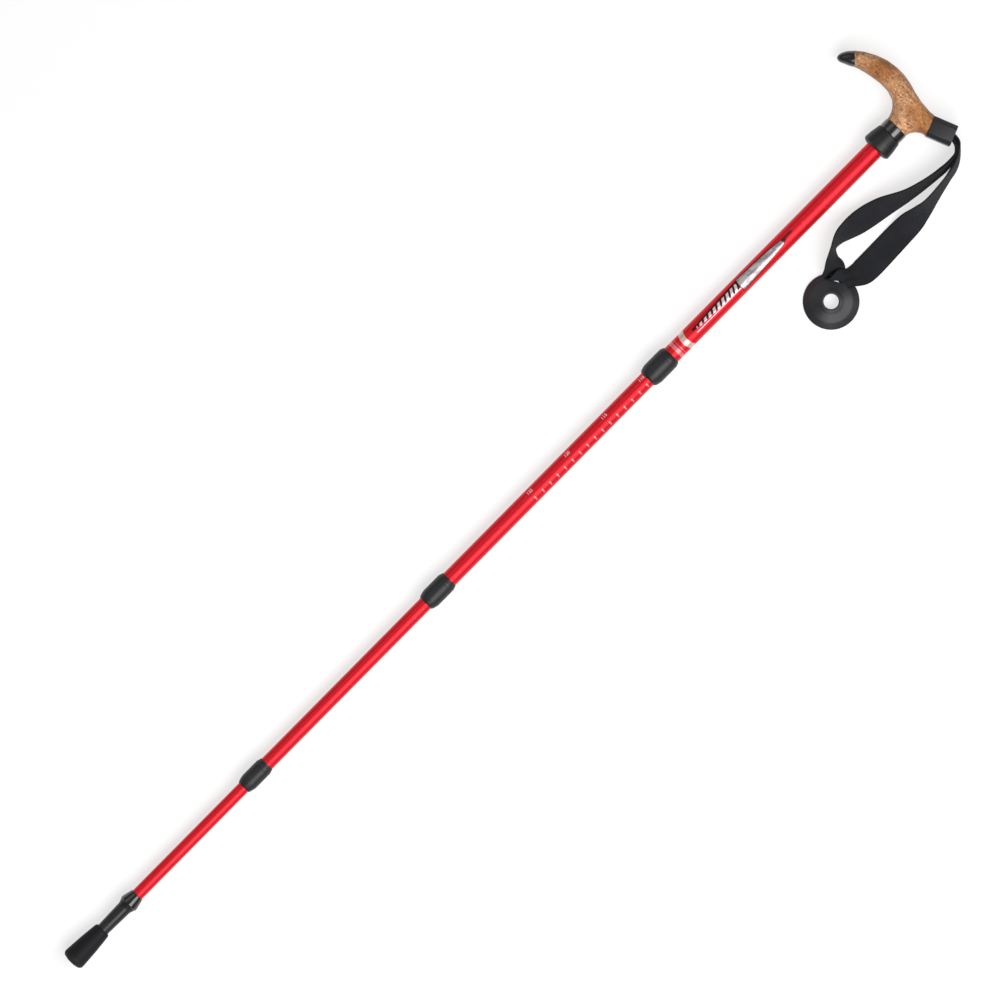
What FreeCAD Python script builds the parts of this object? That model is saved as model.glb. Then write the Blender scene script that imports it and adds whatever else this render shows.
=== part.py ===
import FreeCAD, Part
import math
import os
import re
import Sketcher
from FreeCAD import Placement, Rotation, Vector

# A four-section telescoping trekking pole with a cork T-handle.
# +X runs along the pole from the foot's ground face to the handle, +Y is the side of the
# handle's long horn, and +Z is up when the pole lies on its side. The origin is the centre
# of the foot's ground face. Tube 1 is the widest, under the handle, and tube 4 the thinnest.

doc = FreeCAD.newDocument("trekking_pole")

# ---------------------------------------------------------------- driving sizes, millimetres
SIZES = [
    ("tube_radius", 9.0, "outer radius of the upper tube"),
    ("tube_wall", 0.8, "wall of every tube"),
    ("slide_gap", 0.2, "radial gap between a tube and the one that slides in it"),
    ("show_1", 271.5, "bare length of tube 1, collar to handle"),
    ("show_2", 265.8, "bare length of tube 2 at rest"),
    ("show_3", 212.8, "bare length of tube 3 at rest"),
    ("show_4", 141.8, "bare length of tube 4 at rest"),
    ("tucked_2", 40.0, "tube 2 inside tube 1 at rest"),
    ("tucked_3", 50.0, "tube 3 inside tube 2 at rest"),
    ("tucked_4", 60.0, "tube 4 inside tube 3 at rest"),
    ("collar_length_1", 32.2, "lower collar of tube 1"),
    ("collar_length_2", 35.0, "lower collar of tube 2"),
    ("collar_length_3", 32.2, "lower collar of tube 3"),
    ("collar_wall_1", 2.4, "collar wall over tube 1"),
    ("collar_wall_2", 2.0, "collar wall over tube 2"),
    ("collar_wall_3", 1.8, "collar wall over tube 3"),
    ("collar_lip", 4.0, "collar beyond the end of its tube"),
    ("collar_round", 1.6, "how far a collar's ends draw in"),
    ("plug_depth", 16.0, "lock plug inside its tube"),
    ("plug_flange", 3.0, "lock plug beyond its tube"),
    ("stud_radius", 2.5, "threaded stud of the twist lock"),
    ("stud_reach", 31.0, "stud beyond the end of its tube"),
    ("stud_hold", 12.0, "stud inside its plug"),
    ("lock_gap", 0.15, "radial gap round the parts of a lock"),
    ("sleeve_start", 4.0, "expander sleeve from the end of its tube"),
    ("sleeve_length", 20.0, "expander sleeve"),
    ("sleeve_floor", 4.0, "unsplit root of the expander sleeve"),
    ("sleeve_slit", 1.2, "width of the sleeve's slits"),
    ("sleeve_edge", 1.1, "sleeve wall at its mouth, lock gap included"),
    ("nut_lead", 9.0, "from the sleeve's start to the cone nut's small end"),
    ("nut_tail", 4.0, "cone nut beyond the sleeve"),
    ("foot_length", 44.5, "rubber foot"),
    ("foot_sole_radius", 11.5, "foot at the ground"),
    ("foot_top_radius", 8.3, "foot at its mouth"),
    ("foot_edge", 2.6, "rounding of the foot's rims"),
    ("sole", 4.0, "rubber under the washer"),
    ("washer_thick", 1.5, "steel washer in the foot"),
    ("tip_radius", 2.2, "carbide tip"),
    ("tip_reach", 6.5, "carbide tip beyond the holder"),
    ("tip_hold", 10.0, "carbide tip inside the holder"),
    ("spigot_radius", 5.6, "holder's lower end, inside the foot"),
    ("foot_gap", 0.15, "radial gap between the holder and the foot"),
    ("holder_neck", 6.3, "holder's radius at the foot's mouth"),
    ("holder_show", 45.5, "bare length of the tip holder"),
    ("holder_ring", 9.45, "radius of the holder's flared ring"),
    ("holder_socket", 19.0, "tube 4 inside the tip holder"),
    ("ring_back", 11.5, "from the flared ring to the holder's upper end"),
    ("ring_rise", 6.0, "slope from the holder's shaft up to the ring"),
    ("ring_flat", 3.0, "length of the ring's crown"),
    ("shaft_wall", 1.1, "holder's shaft over tube 4, below the ring"),
    ("holder_lip", 0.9, "holder's wall at its upper end"),
    ("ferrule_length", 19.7, "flared collar at the handle"),
    ("ferrule_wall", 6.0, "flared collar's largest wall over tube 1"),
    ("ferrule_waist", 3.9, "flared collar's least wall over tube 1"),
    ("ring_length", 10.0, "glossy ring above the flared collar"),
    ("ring_wall", 3.4, "glossy ring over tube 1"),
    ("core_wall", 1.5, "handle core over tube 1"),
    ("core_length", 34.0, "core socket above the flared collar"),
    ("tube_in_core", 20.0, "tube 1 above the flared collar"),
    ("pin_inset", 4.0, "grip pin below the upper end of tube 1"),
    ("pin_sink", 0.3, "grip pin's ends below the core's surface"),
    ("core_bar", 4.0, "half width of the core's bar"),
    ("core_depth", 14.0, "depth of the core's bar"),
    ("core_tenon", 6.0, "the bar's tenons in the block and the nose"),
    ("core_bow", 200.0, "bow radius of the core's bar"),
    ("cork_neck", 2.8, "cork over tube 1 at the neck"),
    ("grip_depth", 30.0, "handle's depth along Z"),
    ("nose_depth", 22.0, "nose cap's depth along Z"),
    ("neck_slope", 13.0, "from the round neck to the cork's full depth"),
    ("grip_round", 6.5, "rounding of the cork's long edges"),
    ("heel_along", 22.65, "centre of the strap block's face, from the cork's start"),
    ("heel_across", -21.45, "the same, across the pole"),
    ("heel_tilt", 21.5, "tilt of the strap block, degrees"),
    ("block_height", 20.5, "strap block across its own axis"),
    ("block_length", 24.8, "strap block along its own axis"),
    ("block_chamfer", 4.0, "chamfer of the block's long edges"),
    ("slot_depth", 10.0, "depth of the strap slot"),
    ("slot_height", 13.0, "height of the strap slot"),
    ("slot_width", 26.0, "width of the strap slot"),
    ("pin_radius", 1.5, "radius of the cross pins"),
    ("strap_pin_depth", 14.5, "strap pin from the block's outer end"),
    ("nose_along", 18.0, "centre of the nose cap's face, from the cork's start"),
    ("nose_across", 73.85, "the same, across the pole"),
    ("nose_tilt", 46.3, "slope of the nose cap's face, degrees"),
    ("nose_width", 15.4, "width of the nose cap's face"),
    ("nose_reach", 15.5, "nose cap along its own axis"),
    ("nose_round", 1.6, "rounding of the nose cap"),
    ("saddle_along", 35.8, "the grip's back behind the neck, from the cork's start"),
    ("saddle_across", 10.5, "the same, across the pole"),
    ("saddle_bow", 62.0, "hollow behind the neck"),
    ("back_bow", 65.5, "bow of the horn's back"),
    ("web_along", 18.9, "the horn's front where the neck's curve begins"),
    ("web_across", 34.5, "the same, across the pole"),
    ("front_bow", 97.7, "bow of the horn's front"),
    ("crotch_bow", 21.1, "hollow between the horn and the neck"),
    ("under_bow", 15.0, "curve from the neck to the strap block"),
    ("strap_radius", 2.5, "strap as a round cord of much the same section"),
    ("basket_radius", 27.0, "mud basket"),
    ("basket_height", 10.0, "mud basket's hub"),
    ("basket_bore", 7.2, "radius of the hub's bore"),
    ("basket_wall", 2.2, "basket's shell"),
    ("basket_slit", 2.4, "width of the basket's slit"),
    ("basket_back", 160.0, "centre of the basket below the cork's start"),
    ("basket_across", -72.0, "centre of the basket, across the pole"),
]
ALIASES = {alias for alias, size, note in SIZES}

sheet = doc.addObject("Spreadsheet::Sheet", "sizes")
for row, (alias, size, note) in enumerate(SIZES, start=1):
    sheet.set(f"A{row}", alias)
    sheet.set(f"B{row}", str(size))
    sheet.setAlias(f"B{row}", alias)
    sheet.set(f"C{row}", note)
doc.recompute()


def bind(text):
    """The expression with each size's name led back to the sheet."""
    return re.sub(r"[a-z]\w*", lambda m: f"sizes.{m[0]}" if m[0] in ALIASES else m[0], str(text))


def value(text):
    """The number that an expression on the sheet comes to."""
    return float(sheet.evalExpression(bind(text)))


# ---------------------------------------------------------------- places worked out from them
TUBES = (1, 2, 3, 4)
LOCKS = (2, 3, 4)


def outer(tube):
    """Outer radius of a tube: each one slides in the bore of the one before."""
    return f"(tube_radius - {tube - 1} * (tube_wall + slide_gap))"


def bore(tube):
    """Inner radius of a tube."""
    return f"({outer(tube)} - tube_wall)"


HOLDER_TOP = "(foot_length + holder_show)"
COLLAR_LOW = {3: f"({HOLDER_TOP} + show_4)"}
COLLAR_LOW[2] = f"({COLLAR_LOW[3]} + collar_length_3 + show_3)"
COLLAR_LOW[1] = f"({COLLAR_LOW[2]} + collar_length_2 + show_2)"
HANDLE = f"({COLLAR_LOW[1]} + collar_length_1 + show_1)"
TUBE_LOW = {tube: f"({COLLAR_LOW[tube]} + collar_lip)" for tube in (1, 2, 3)}
TUBE_LOW[4] = f"({HOLDER_TOP} - holder_socket)"
TUBE_TOP = {tube: f"({COLLAR_LOW[tube - 1]} + tucked_{tube})" for tube in LOCKS}
TUBE_TOP[1] = f"({HANDLE} + ferrule_length + tube_in_core)"
FLOOR = f"(-1 * ({outer(1)} + ferrule_wall))"


# ---------------------------------------------------------------- drawing helpers
def place(piece, along="0", across="0", up="0"):
    """Ties the piece's own origin to places on the sheet."""
    for axis, spot in zip("xyz", (along, across, up)):
        piece.setExpression(f".Placement.Base.{axis}", bind(spot))


def new_body(label):
    body = doc.addObject("PartDesign::Body", label)
    body.Label = label
    return body


def arc_between(start, end, radius):
    """The arc that leaves the chord on its left when the radius is positive."""
    chord = end - start
    half = chord.Length / 2
    rise = abs(radius) - math.sqrt(radius * radius - half * half)
    side = Vector(-chord.y, chord.x, 0).normalize()
    middle = (start + end) * 0.5 + side * math.copysign(rise, radius)
    return Part.Arc(start, middle, end)


def outline(body, name, corners, plane="XY_Plane"):
    """A closed sketch whose corners, and the radii of its arcs, are tied to the sheet.

    A corner is (x, y), or (x, y, radius) where an arc leads to the next corner, bulging
    to the left of the way there, or to the right for a negative radius.
    """
    sketch = body.newObject("Sketcher::SketchObject", name)
    origin_plane = [f for f in body.Origin.OriginFeatures if f.Role == plane][0]
    sketch.AttachmentSupport = [(origin_plane, "")]
    sketch.MapMode = "FlatFace"
    spots = [Vector(value(corner[0]), value(corner[1]), 0) for corner in corners]
    count = len(corners)
    for i, corner in enumerate(corners):
        start, end = spots[i], spots[(i + 1) % count]
        if len(corner) == 3:
            sketch.addGeometry(arc_between(start, end, value(corner[2])))
        else:
            sketch.addGeometry(Part.LineSegment(start, end))
    ends = [corner_ends(sketch, i, spots[i]) for i in range(count)]
    for i in range(count):
        follower = (i + 1) % count
        sketch.addConstraint(Sketcher.Constraint("Coincident", i, ends[i][1], follower, ends[follower][0]))
    for i, corner in enumerate(corners):
        for axis, kind, line, text in ((spots[i].x, "DistanceX", -2, corner[0]),
                                       (spots[i].y, "DistanceY", -1, corner[1])):
            if str(text) == "0":
                sketch.addConstraint(Sketcher.Constraint("PointOnObject", i, ends[i][0], line))
            else:
                index = sketch.addConstraint(Sketcher.Constraint(kind, -1, 1, i, ends[i][0], axis))
                sketch.setExpression(f"Constraints[{index}]", bind(text))
        if len(corner) == 3:
            index = sketch.addConstraint(Sketcher.Constraint("Radius", i, abs(value(corner[2]))))
            sketch.setExpression(f"Constraints[{index}]", f"abs({bind(corner[2])})")
    return sketch


def corner_ends(sketch, index, start):
    """Which end of an edge is its start: an arc always runs anticlockwise in a sketch."""
    first = sketch.getPoint(index, 1)
    return (1, 2) if first.isEqual(start, 1e-6) else (2, 1)


def turned(label, corners, along="0"):
    """A body of revolution about the pole's axis: each corner is (along, radius)."""
    body = new_body(label)
    turn = body.newObject("PartDesign::Revolution", f"{label}_turn")
    turn.Profile = outline(body, f"{label}_profile", corners)
    turn.ReferenceAxis = (turn.Profile[0], ["H_Axis"])
    turn.Angle = 360
    body.Tip = turn
    place(body, along)
    return body


def padded(label, corners, depth, plane="XY_Plane"):
    """A body drawn from one outline and padded by half its depth to each side."""
    body = new_body(label)
    pad = body.newObject("PartDesign::Pad", f"{label}_pad")
    pad.Profile = outline(body, f"{label}_outline", corners, plane)
    pad.SideType = "Symmetric"
    pad.setExpression("Length", bind(depth))
    body.Tip = pad
    return body


def cylinder(label, radius, length, along="0", across="0", up="0", direction=Vector(1, 0, 0)):
    """A solid cylinder whose axis runs along the direction from its place."""
    rod = doc.addObject("Part::Cylinder", label)
    rod.setExpression("Radius", bind(radius))
    rod.setExpression("Height", bind(length))
    rod.Placement = Placement(Vector(), Rotation(Vector(0, 0, 1), direction))
    place(rod, along, across, up)
    return rod


def cut(label, base, *tools):
    """The base less each tool in turn; the last cut carries the label."""
    for i, tool in enumerate(tools):
        step = doc.addObject("Part::Cut", label if i == len(tools) - 1 else f"{label}_cut_{i + 1}")
        step.Base = base
        step.Tool = tool
        base = step
    base.Label = label
    return base


def edges_where(shape, test):
    """The names of the edges whose middle passes the test."""
    names = []
    for i, edge in enumerate(shape.Edges, start=1):
        middle = edge.valueAt((edge.FirstParameter + edge.LastParameter) / 2)
        if test(middle, edge):
            names.append(f"Edge{i}")
    return names


def soften(body, kind, dimension, size, test):
    """A fillet or a chamfer on the edges of the body that pass the test."""
    base = body.Tip
    feature = body.newObject(kind, f"{body.Name}_softened")
    feature.Base = (base, edges_where(base.Shape, test))
    feature.setExpression(dimension, bind(size))
    body.Tip = feature


def slice_off(body, name, corners, plane="XY_Plane"):
    """A pocket right through the body from one of its planes, which has to take something away."""
    doc.recompute()
    before = body.Shape.Volume
    pocket = body.newObject("PartDesign::Pocket", name)
    pocket.Profile = outline(body, f"{name}_outline", corners, plane)
    pocket.SideType = "Symmetric"
    pocket.setExpression("Length", bind("20 * tube_radius + 10 * grip_depth"))
    body.Tip = pocket
    doc.recompute()
    if not body.Shape.Volume < before:
        raise ValueError(f"{name} cut nothing")


pieces = []

# ---------------------------------------------------------------- tubes
TUBE_NAMES = {1: "upper_tube", 2: "second_tube", 3: "third_tube", 4: "fourth_tube"}
for tube in TUBES:
    body = new_body(TUBE_NAMES[tube])
    sketch = body.newObject("Sketcher::SketchObject", f"{TUBE_NAMES[tube]}_ring")
    sketch.AttachmentSupport = [([f for f in body.Origin.OriginFeatures if f.Role == "YZ_Plane"][0], "")]
    sketch.MapMode = "FlatFace"
    for i, radius in enumerate((outer(tube), bore(tube))):
        sketch.addGeometry(Part.Circle(Vector(), Vector(0, 0, 1), value(radius)))
        sketch.addConstraint(Sketcher.Constraint("Coincident", i, 3, -1, 1))
        index = sketch.addConstraint(Sketcher.Constraint("Radius", i, value(radius)))
        sketch.setExpression(f"Constraints[{index}]", bind(radius))
    pad = body.newObject("PartDesign::Pad", f"{TUBE_NAMES[tube]}_pad")
    pad.Profile = sketch
    pad.setExpression("Length", bind(f"{TUBE_TOP[tube]} - {TUBE_LOW[tube]}"))
    body.Tip = pad
    place(body, TUBE_LOW[tube])
    pieces.append(body)

# ---------------------------------------------------------------- collars at the tubes' lower ends
for tube in (1, 2, 3):
    length = f"collar_length_{tube}"
    full = f"({outer(tube)} + collar_wall_{tube})"
    drawn_in = f"({full} - collar_round)"
    mouth = f"({outer(tube + 1)} + slide_gap)"
    pieces.append(turned(f"collar_{tube}", [
        ("0", mouth),
        ("0", f"{drawn_in} + 0.35 * collar_round", "3 * collar_round"),
        ("2.2 * collar_round", full),
        (f"{length} - collar_round", full, "1.4 * collar_round"),
        (length, f"{full} - 0.6 * collar_round"),
        (length, outer(tube)),
        ("collar_lip", outer(tube)),
        ("collar_lip", mouth),
    ], COLLAR_LOW[tube]))

# ---------------------------------------------------------------- twist locks
# Each lock sits on the upper end of a tube: a plug holds a threaded stud, and a cone nut on
# the stud spreads a split sleeve against the bore of the next wider tube.
for tube in LOCKS:
    seat = f"({bore(tube - 1)} - sleeve_edge)"
    slope = f"(({seat} - stud_radius - lock_gap) / (sleeve_length - sleeve_floor))"
    small_end = f"(stud_radius + lock_gap + {slope} * (nut_lead - sleeve_floor) - lock_gap)"
    nut_start = "(sleeve_start + nut_lead)"
    sleeve_end = "(sleeve_start + sleeve_length)"
    pieces.append(turned(f"lock_plug_{tube}", [
        ("0", bore(tube)),
        ("plug_depth", bore(tube)),
        ("plug_depth", outer(tube)),
        ("plug_depth + plug_flange", outer(tube)),
        ("plug_depth + plug_flange", "stud_radius"),
        ("plug_depth - stud_hold", "stud_radius"),
        ("plug_depth - stud_hold", "0"),
        ("0", "0"),
    ], f"({TUBE_TOP[tube]} - plug_depth)"))
    pieces.append(cylinder(f"lock_stud_{tube}", "stud_radius", "stud_hold + stud_reach",
                           f"({TUBE_TOP[tube]} - stud_hold)"))
    sleeve = turned(f"expander_sleeve_{tube}", [
        ("0", "stud_radius + lock_gap"),
        ("0", f"{bore(tube - 1)} - lock_gap"),
        ("sleeve_length", f"{bore(tube - 1)} - lock_gap"),
        ("sleeve_length", seat),
        ("sleeve_floor", "stud_radius + lock_gap"),
    ], f"({TUBE_TOP[tube]} + sleeve_start)")
    for plane in ("XY_Plane", "XZ_Plane"):
        slice_off(sleeve, f"sleeve_slit_{tube}_{plane[:2]}", [
            ("1.5 * sleeve_floor", "-0.5 * sleeve_slit"),
            ("1.2 * sleeve_length", "-0.5 * sleeve_slit"),
            ("1.2 * sleeve_length", "0.5 * sleeve_slit"),
            ("1.5 * sleeve_floor", "0.5 * sleeve_slit"),
        ], plane)
    pieces.append(sleeve)
    pieces.append(turned(f"cone_nut_{tube}", [
        ("0", "stud_radius + 0.5 * lock_gap"),
        ("0", small_end),
        ("sleeve_length - nut_lead", f"{seat} - lock_gap"),
        ("sleeve_length - nut_lead + nut_tail", f"{seat} - lock_gap"),
        ("sleeve_length - nut_lead + nut_tail", "stud_radius + 0.5 * lock_gap"),
    ], f"({TUBE_TOP[tube]} + {nut_start})"))

# ---------------------------------------------------------------- tip and foot
HOLDER_LOW = "(sole + washer_thick + tip_reach)"
NECK = f"(foot_length - {HOLDER_LOW})"
RING = f"({HOLDER_TOP} - ring_back - {HOLDER_LOW})"
HOLDER_LENGTH = f"({HOLDER_TOP} - {HOLDER_LOW})"
pieces.append(turned("tip_holder", [
    ("0", "tip_radius"),
    ("0", "spigot_radius"),
    (NECK, "holder_neck"),
    (f"{RING} - ring_rise", f"{outer(4)} + shaft_wall"),
    (RING, "holder_ring"),
    (f"{RING} + ring_flat", "0.96 * holder_ring"),
    (HOLDER_LENGTH, f"{outer(4)} + holder_lip"),
    (HOLDER_LENGTH, outer(4)),
    (f"{HOLDER_LENGTH} - holder_socket", outer(4)),
    (f"{HOLDER_LENGTH} - holder_socket", "0"),
    ("tip_hold", "0"),
    ("tip_hold", "tip_radius"),
], HOLDER_LOW))

pieces.append(turned("carbide_tip", [
    ("0", "0"),
    ("0", "0.45 * tip_radius"),
    ("1.5", "tip_radius"),
    ("tip_reach + tip_hold", "tip_radius"),
    ("tip_reach + tip_hold", "0"),
], "(sole + washer_thick)"))

pieces.append(turned("foot_washer", [
    ("0", "0.4 * tip_radius"),
    ("0", "spigot_radius + foot_gap"),
    ("washer_thick", "spigot_radius + foot_gap"),
    ("washer_thick", "0.4 * tip_radius"),
], "sole"))

pieces.append(turned("rubber_foot", [
    ("0", "0"),
    ("0", "foot_sole_radius - 1.5 * foot_edge", "1.6 * foot_edge"),
    ("foot_edge", "foot_sole_radius"),
    ("foot_length - foot_edge", "foot_top_radius", "1.1 * foot_edge"),
    ("foot_length", "foot_top_radius - 0.5 * foot_edge"),
    ("foot_length", "holder_neck + foot_gap"),
    (HOLDER_LOW, "spigot_radius + foot_gap"),
    ("sole", "spigot_radius + foot_gap"),
    ("sole", "0"),
]))

# ---------------------------------------------------------------- handle, from the top of tube 1
FERRULE_TOP = f"({HANDLE} + ferrule_length)"
CORK_LOW = f"({FERRULE_TOP} + ring_length)"
CORE_OUTER = f"({outer(1)} + core_wall)"

pieces.append(turned("handle_collar", [
    ("0", outer(1)),
    ("0", f"{outer(1)} + 0.6 * ferrule_wall", "0.7 * ferrule_wall"),
    ("0.16 * ferrule_length", f"{outer(1)} + ferrule_wall"),
    ("0.5 * ferrule_length", f"{outer(1)} + 0.93 * ferrule_wall"),
    ("ferrule_length", f"{outer(1)} + ferrule_waist"),
    ("ferrule_length", outer(1)),
], HANDLE))

pieces.append(turned("neck_ring", [
    ("0", CORE_OUTER),
    ("0", f"{outer(1)} + ring_wall"),
    ("ring_length", f"{outer(1)} + ring_wall"),
    ("ring_length", CORE_OUTER),
], FERRULE_TOP))

# Both ends of the handle are faces square to their own axes: the heel, where the strap block
# sits, and the nose. A point on a face is its centre plus a step along the face.
HEEL = ("cos(heel_tilt)", "sin(heel_tilt)")
NOSE = ("cos(nose_tilt)", "sin(nose_tilt)")


def on_heel(step, out="0"):
    """A point on the heel: a step up along its face, and out along the block's axis."""
    return (f"heel_along + ({step}) * {HEEL[0]} + ({out}) * {HEEL[1]}",
            f"heel_across + ({step}) * {HEEL[1]} - ({out}) * {HEEL[0]}")


def on_nose(step, out="0"):
    """A point on the nose's face: a step along it, and out along the nose's axis."""
    return (f"nose_along + ({step}) * {NOSE[0]} - ({out}) * {NOSE[1]}",
            f"nose_across + ({step}) * {NOSE[1]} + ({out}) * {NOSE[0]}")


# The core is a moulded socket for tube 1 with a bowed bar from the strap block to the nose.
core_bar = padded("core_bar_form", [
    (*on_heel("core_bar", "core_tenon"), "-1 * (core_bow + core_bar)"),
    on_nose("core_bar", "core_tenon"),
    (*on_nose("-core_bar", "core_tenon"), "core_bow - core_bar"),
    on_heel("-core_bar", "core_tenon"),
], "core_depth")
place(core_bar, CORK_LOW)
core_socket = cylinder("core_socket_form", CORE_OUTER, "core_length", FERRULE_TOP)
core_form = doc.addObject("Part::Fuse", "core_form")
core_form.Base = core_bar
core_form.Tool = core_socket
tube_space = cylinder("tube_space", outer(1), "tube_in_core", FERRULE_TOP)

# The grip pin crosses the core and the end of tube 1, under the cork.
PIN_ALONG = f"({TUBE_TOP[1]} - pin_inset)"
PIN_HALF = f"({CORE_OUTER} - pin_sink)"
grip_pin = cylinder("grip_pin", "pin_radius", f"2 * {PIN_HALF}", PIN_ALONG, "0",
                    f"-1 * {PIN_HALF}", Vector(0, 0, 1))
pieces.append(grip_pin)
pieces.append(cut("grip_core", core_form, tube_space, grip_pin))
upper_tube = pieces[0]
upper_tube.Label = "upper_tube_whole"
pieces[0] = cut("upper_tube_drilled", upper_tube, grip_pin)
pieces[0].Label = "upper_tube"

# Cork: one outline for the neck, horn and heel, rounded, then thinned at the neck and the horn.
cork_blank = padded("cork_blank", [
    ("0", f"-1 * ({outer(1)} + cork_neck)", "under_bow"),
    on_heel("-0.5 * block_height"),
    (*on_heel("0.5 * block_height"), "saddle_bow"),
    ("saddle_along", "saddle_across", "-1 * back_bow"),
    on_nose("0.5 * nose_width"),
    (*on_nose("-0.5 * nose_width"), "front_bow"),
    ("web_along", "web_across", "crotch_bow"),
    ("0", f"{outer(1)} + cork_neck"),
], "grip_depth")
doc.recompute()
half_depth = value("grip_depth") / 2


def long_rim(middle, edge):
    """Rims of the two flat sides, apart from the straight ends at neck, heel and nose."""
    straight = isinstance(edge.Curve, Part.Line)
    return abs(abs(middle.z) - half_depth) < 1e-4 and not straight


soften(cork_blank, "PartDesign::Fillet", "Radius", "grip_round", long_rim)
doc.recompute()
for side, word in ((1, "upper"), (-1, "lower")):
    slice_off(cork_blank, f"neck_{word}_slope", [
        ("-1", f"{side} * ({outer(1)} + cork_neck)"),
        ("neck_slope", f"{side} * (0.5 * grip_depth + 0.5)"),
        ("-1", f"{side} * (0.5 * grip_depth + 0.5)"),
    ], "XZ_Plane")
    slice_off(cork_blank, f"horn_{word}_slope", [
        ("web_across", f"{side} * (0.5 * grip_depth + 0.1)"),
        ("nose_across + nose_width", f"{side} * (0.5 * grip_depth + 0.1)"),
        ("nose_across + nose_width", f"{side} * 0.5 * nose_depth"),
    ], "YZ_Plane")
place(cork_blank, CORK_LOW)
pieces.append(cut("cork_grip", cork_blank, core_form))

# Nose cap: the horn's black end, rounded all round its tip.
nose_blank = padded("nose_blank", [
    on_nose("-0.5 * nose_width"),
    (*on_nose("0.5 * nose_width"), "-3.8 * nose_width"),
    (*on_nose("0.2 * nose_width", "nose_reach"), "-0.15 * nose_width"),
    on_nose("-0.06 * nose_width", "nose_reach - 0.5"),
], "nose_depth")
doc.recompute()
half_nose = value("nose_depth") / 2


def nose_rim(middle, edge):
    """Rims of the cap's flat sides, apart from those on its joint face."""
    spot = [value(text) for text in on_nose("0")]
    reach = (middle.y - spot[1]) * math.cos(math.radians(value("nose_tilt")))
    reach -= (middle.x - spot[0]) * math.sin(math.radians(value("nose_tilt")))
    return abs(abs(middle.z) - half_nose) < 1e-4 and reach > 0.5


soften(nose_blank, "PartDesign::Fillet", "Radius", "nose_round", nose_rim)
for side, word in ((1, "upper"), (-1, "lower")):
    slice_off(nose_blank, f"nose_{word}_slope", [
        ("nose_across - 0.4 * nose_width", f"{side} * (0.5 * nose_depth + 0.1)"),
        ("nose_across + nose_width", f"{side} * (0.5 * nose_depth + 0.1)"),
        ("nose_across + nose_width", f"{side} * 0.3 * nose_depth"),
    ], "YZ_Plane")
place(nose_blank, CORK_LOW)
pieces.append(cut("nose_cap", nose_blank, core_form))

# Strap block: a chamfered box on the heel, with the strap's slot in its outer end.
block_blank = padded("block_blank", [
    on_heel("-0.5 * block_height"),
    on_heel("-0.5 * block_height", "block_length"),
    on_heel("0.5 * block_height", "block_length"),
    on_heel("0.5 * block_height"),
], "grip_depth")
doc.recompute()
heel_spot = Vector(value("heel_along"), value("heel_across"), 0)
block_axis = Vector(math.sin(math.radians(value("heel_tilt"))), -math.cos(math.radians(value("heel_tilt"))), 0)


def long_edge(middle, edge):
    """The block's four long edges, and the rim of its outer end."""
    reach = (middle - heel_spot).dot(block_axis)
    along = abs(edge.tangentAt(edge.FirstParameter).dot(block_axis)) > 0.99
    return along and reach > 0.1


soften(block_blank, "PartDesign::Chamfer", "Size", "block_chamfer", long_edge)
place(block_blank, CORK_LOW)

slot_form = padded("slot_form", [
    on_heel("-0.5 * slot_height", "block_length - slot_depth"),
    on_heel("-0.5 * slot_height", "block_length + slot_depth"),
    on_heel("0.5 * slot_height", "block_length + slot_depth"),
    on_heel("0.5 * slot_height", "block_length - slot_depth"),
], "slot_width")
place(slot_form, CORK_LOW)

strap_pin_spot = on_heel("0", "block_length - strap_pin_depth")
strap_pin = cylinder("strap_pin", "pin_radius", "grip_depth - 2", f"{CORK_LOW} + {strap_pin_spot[0]}",
                     strap_pin_spot[1], "-0.5 * grip_depth + 1", Vector(0, 0, 1))
pieces.append(strap_pin)
pieces.append(cut("strap_block", block_blank, slot_form, core_form, strap_pin))

# ---------------------------------------------------------------- wrist strap and basket
# The strap is a loop of webbing; here it is a round cord of much the same section, from the
# floor of one side of the block's slot, round the loop and back to the other side. Its points
# are counted from the cork's start.
STRAP_ROUTE = [
    (31.06, -34.11, 0), (36.6, -48.2, 0), (31, -59.4, -0.5), (16, -67, -3), (-6, -71.6, -7),
    (-35, -74, -11), (-69, -73.2, -12), (-98, -75, -12), (-119.5, -73.6, -12), (-130, -54.5, -9),
    (-119, -34.6, -6), (-95, -36.4, -7), (-61, -44.6, -8), (-31, -54.6, -6), (-6, -59.4, -3),
    (13, -59.6, -0.5), (25.2, -55.6, 0), (29.85, -49.1, 0), (24.9, -36.54, 0),
]


def cord_path(points):
    """Straight runs joined by arcs, each as large as 0.45 of its shorter run allows."""
    spots = [Vector(*point) for point in points]
    edges = []
    start = spots[0]
    radii = []
    for before, corner, after in zip(spots, spots[1:], spots[2:]):
        arriving = (corner - before).normalize()
        leaving = (after - corner).normalize()
        half_turn = arriving.getAngle(leaving) / 2
        reach = 0.45 * min((corner - before).Length, (after - corner).Length)
        radius = reach / math.tan(half_turn)
        radii.append(round(radius, 1))
        enter = corner - arriving * reach
        leave = corner + leaving * reach
        inward = (leaving - arriving).normalize()
        middle = corner + inward * (radius / math.cos(half_turn) - radius)
        edges.append(Part.LineSegment(start, enter).toShape())
        edges.append(Part.Arc(enter, middle, leave).toShape())
        start = leave
    edges.append(Part.LineSegment(start, spots[-1]).toShape())
    print("strap bend radii, mm:", radii)
    return Part.Wire(edges)


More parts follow.
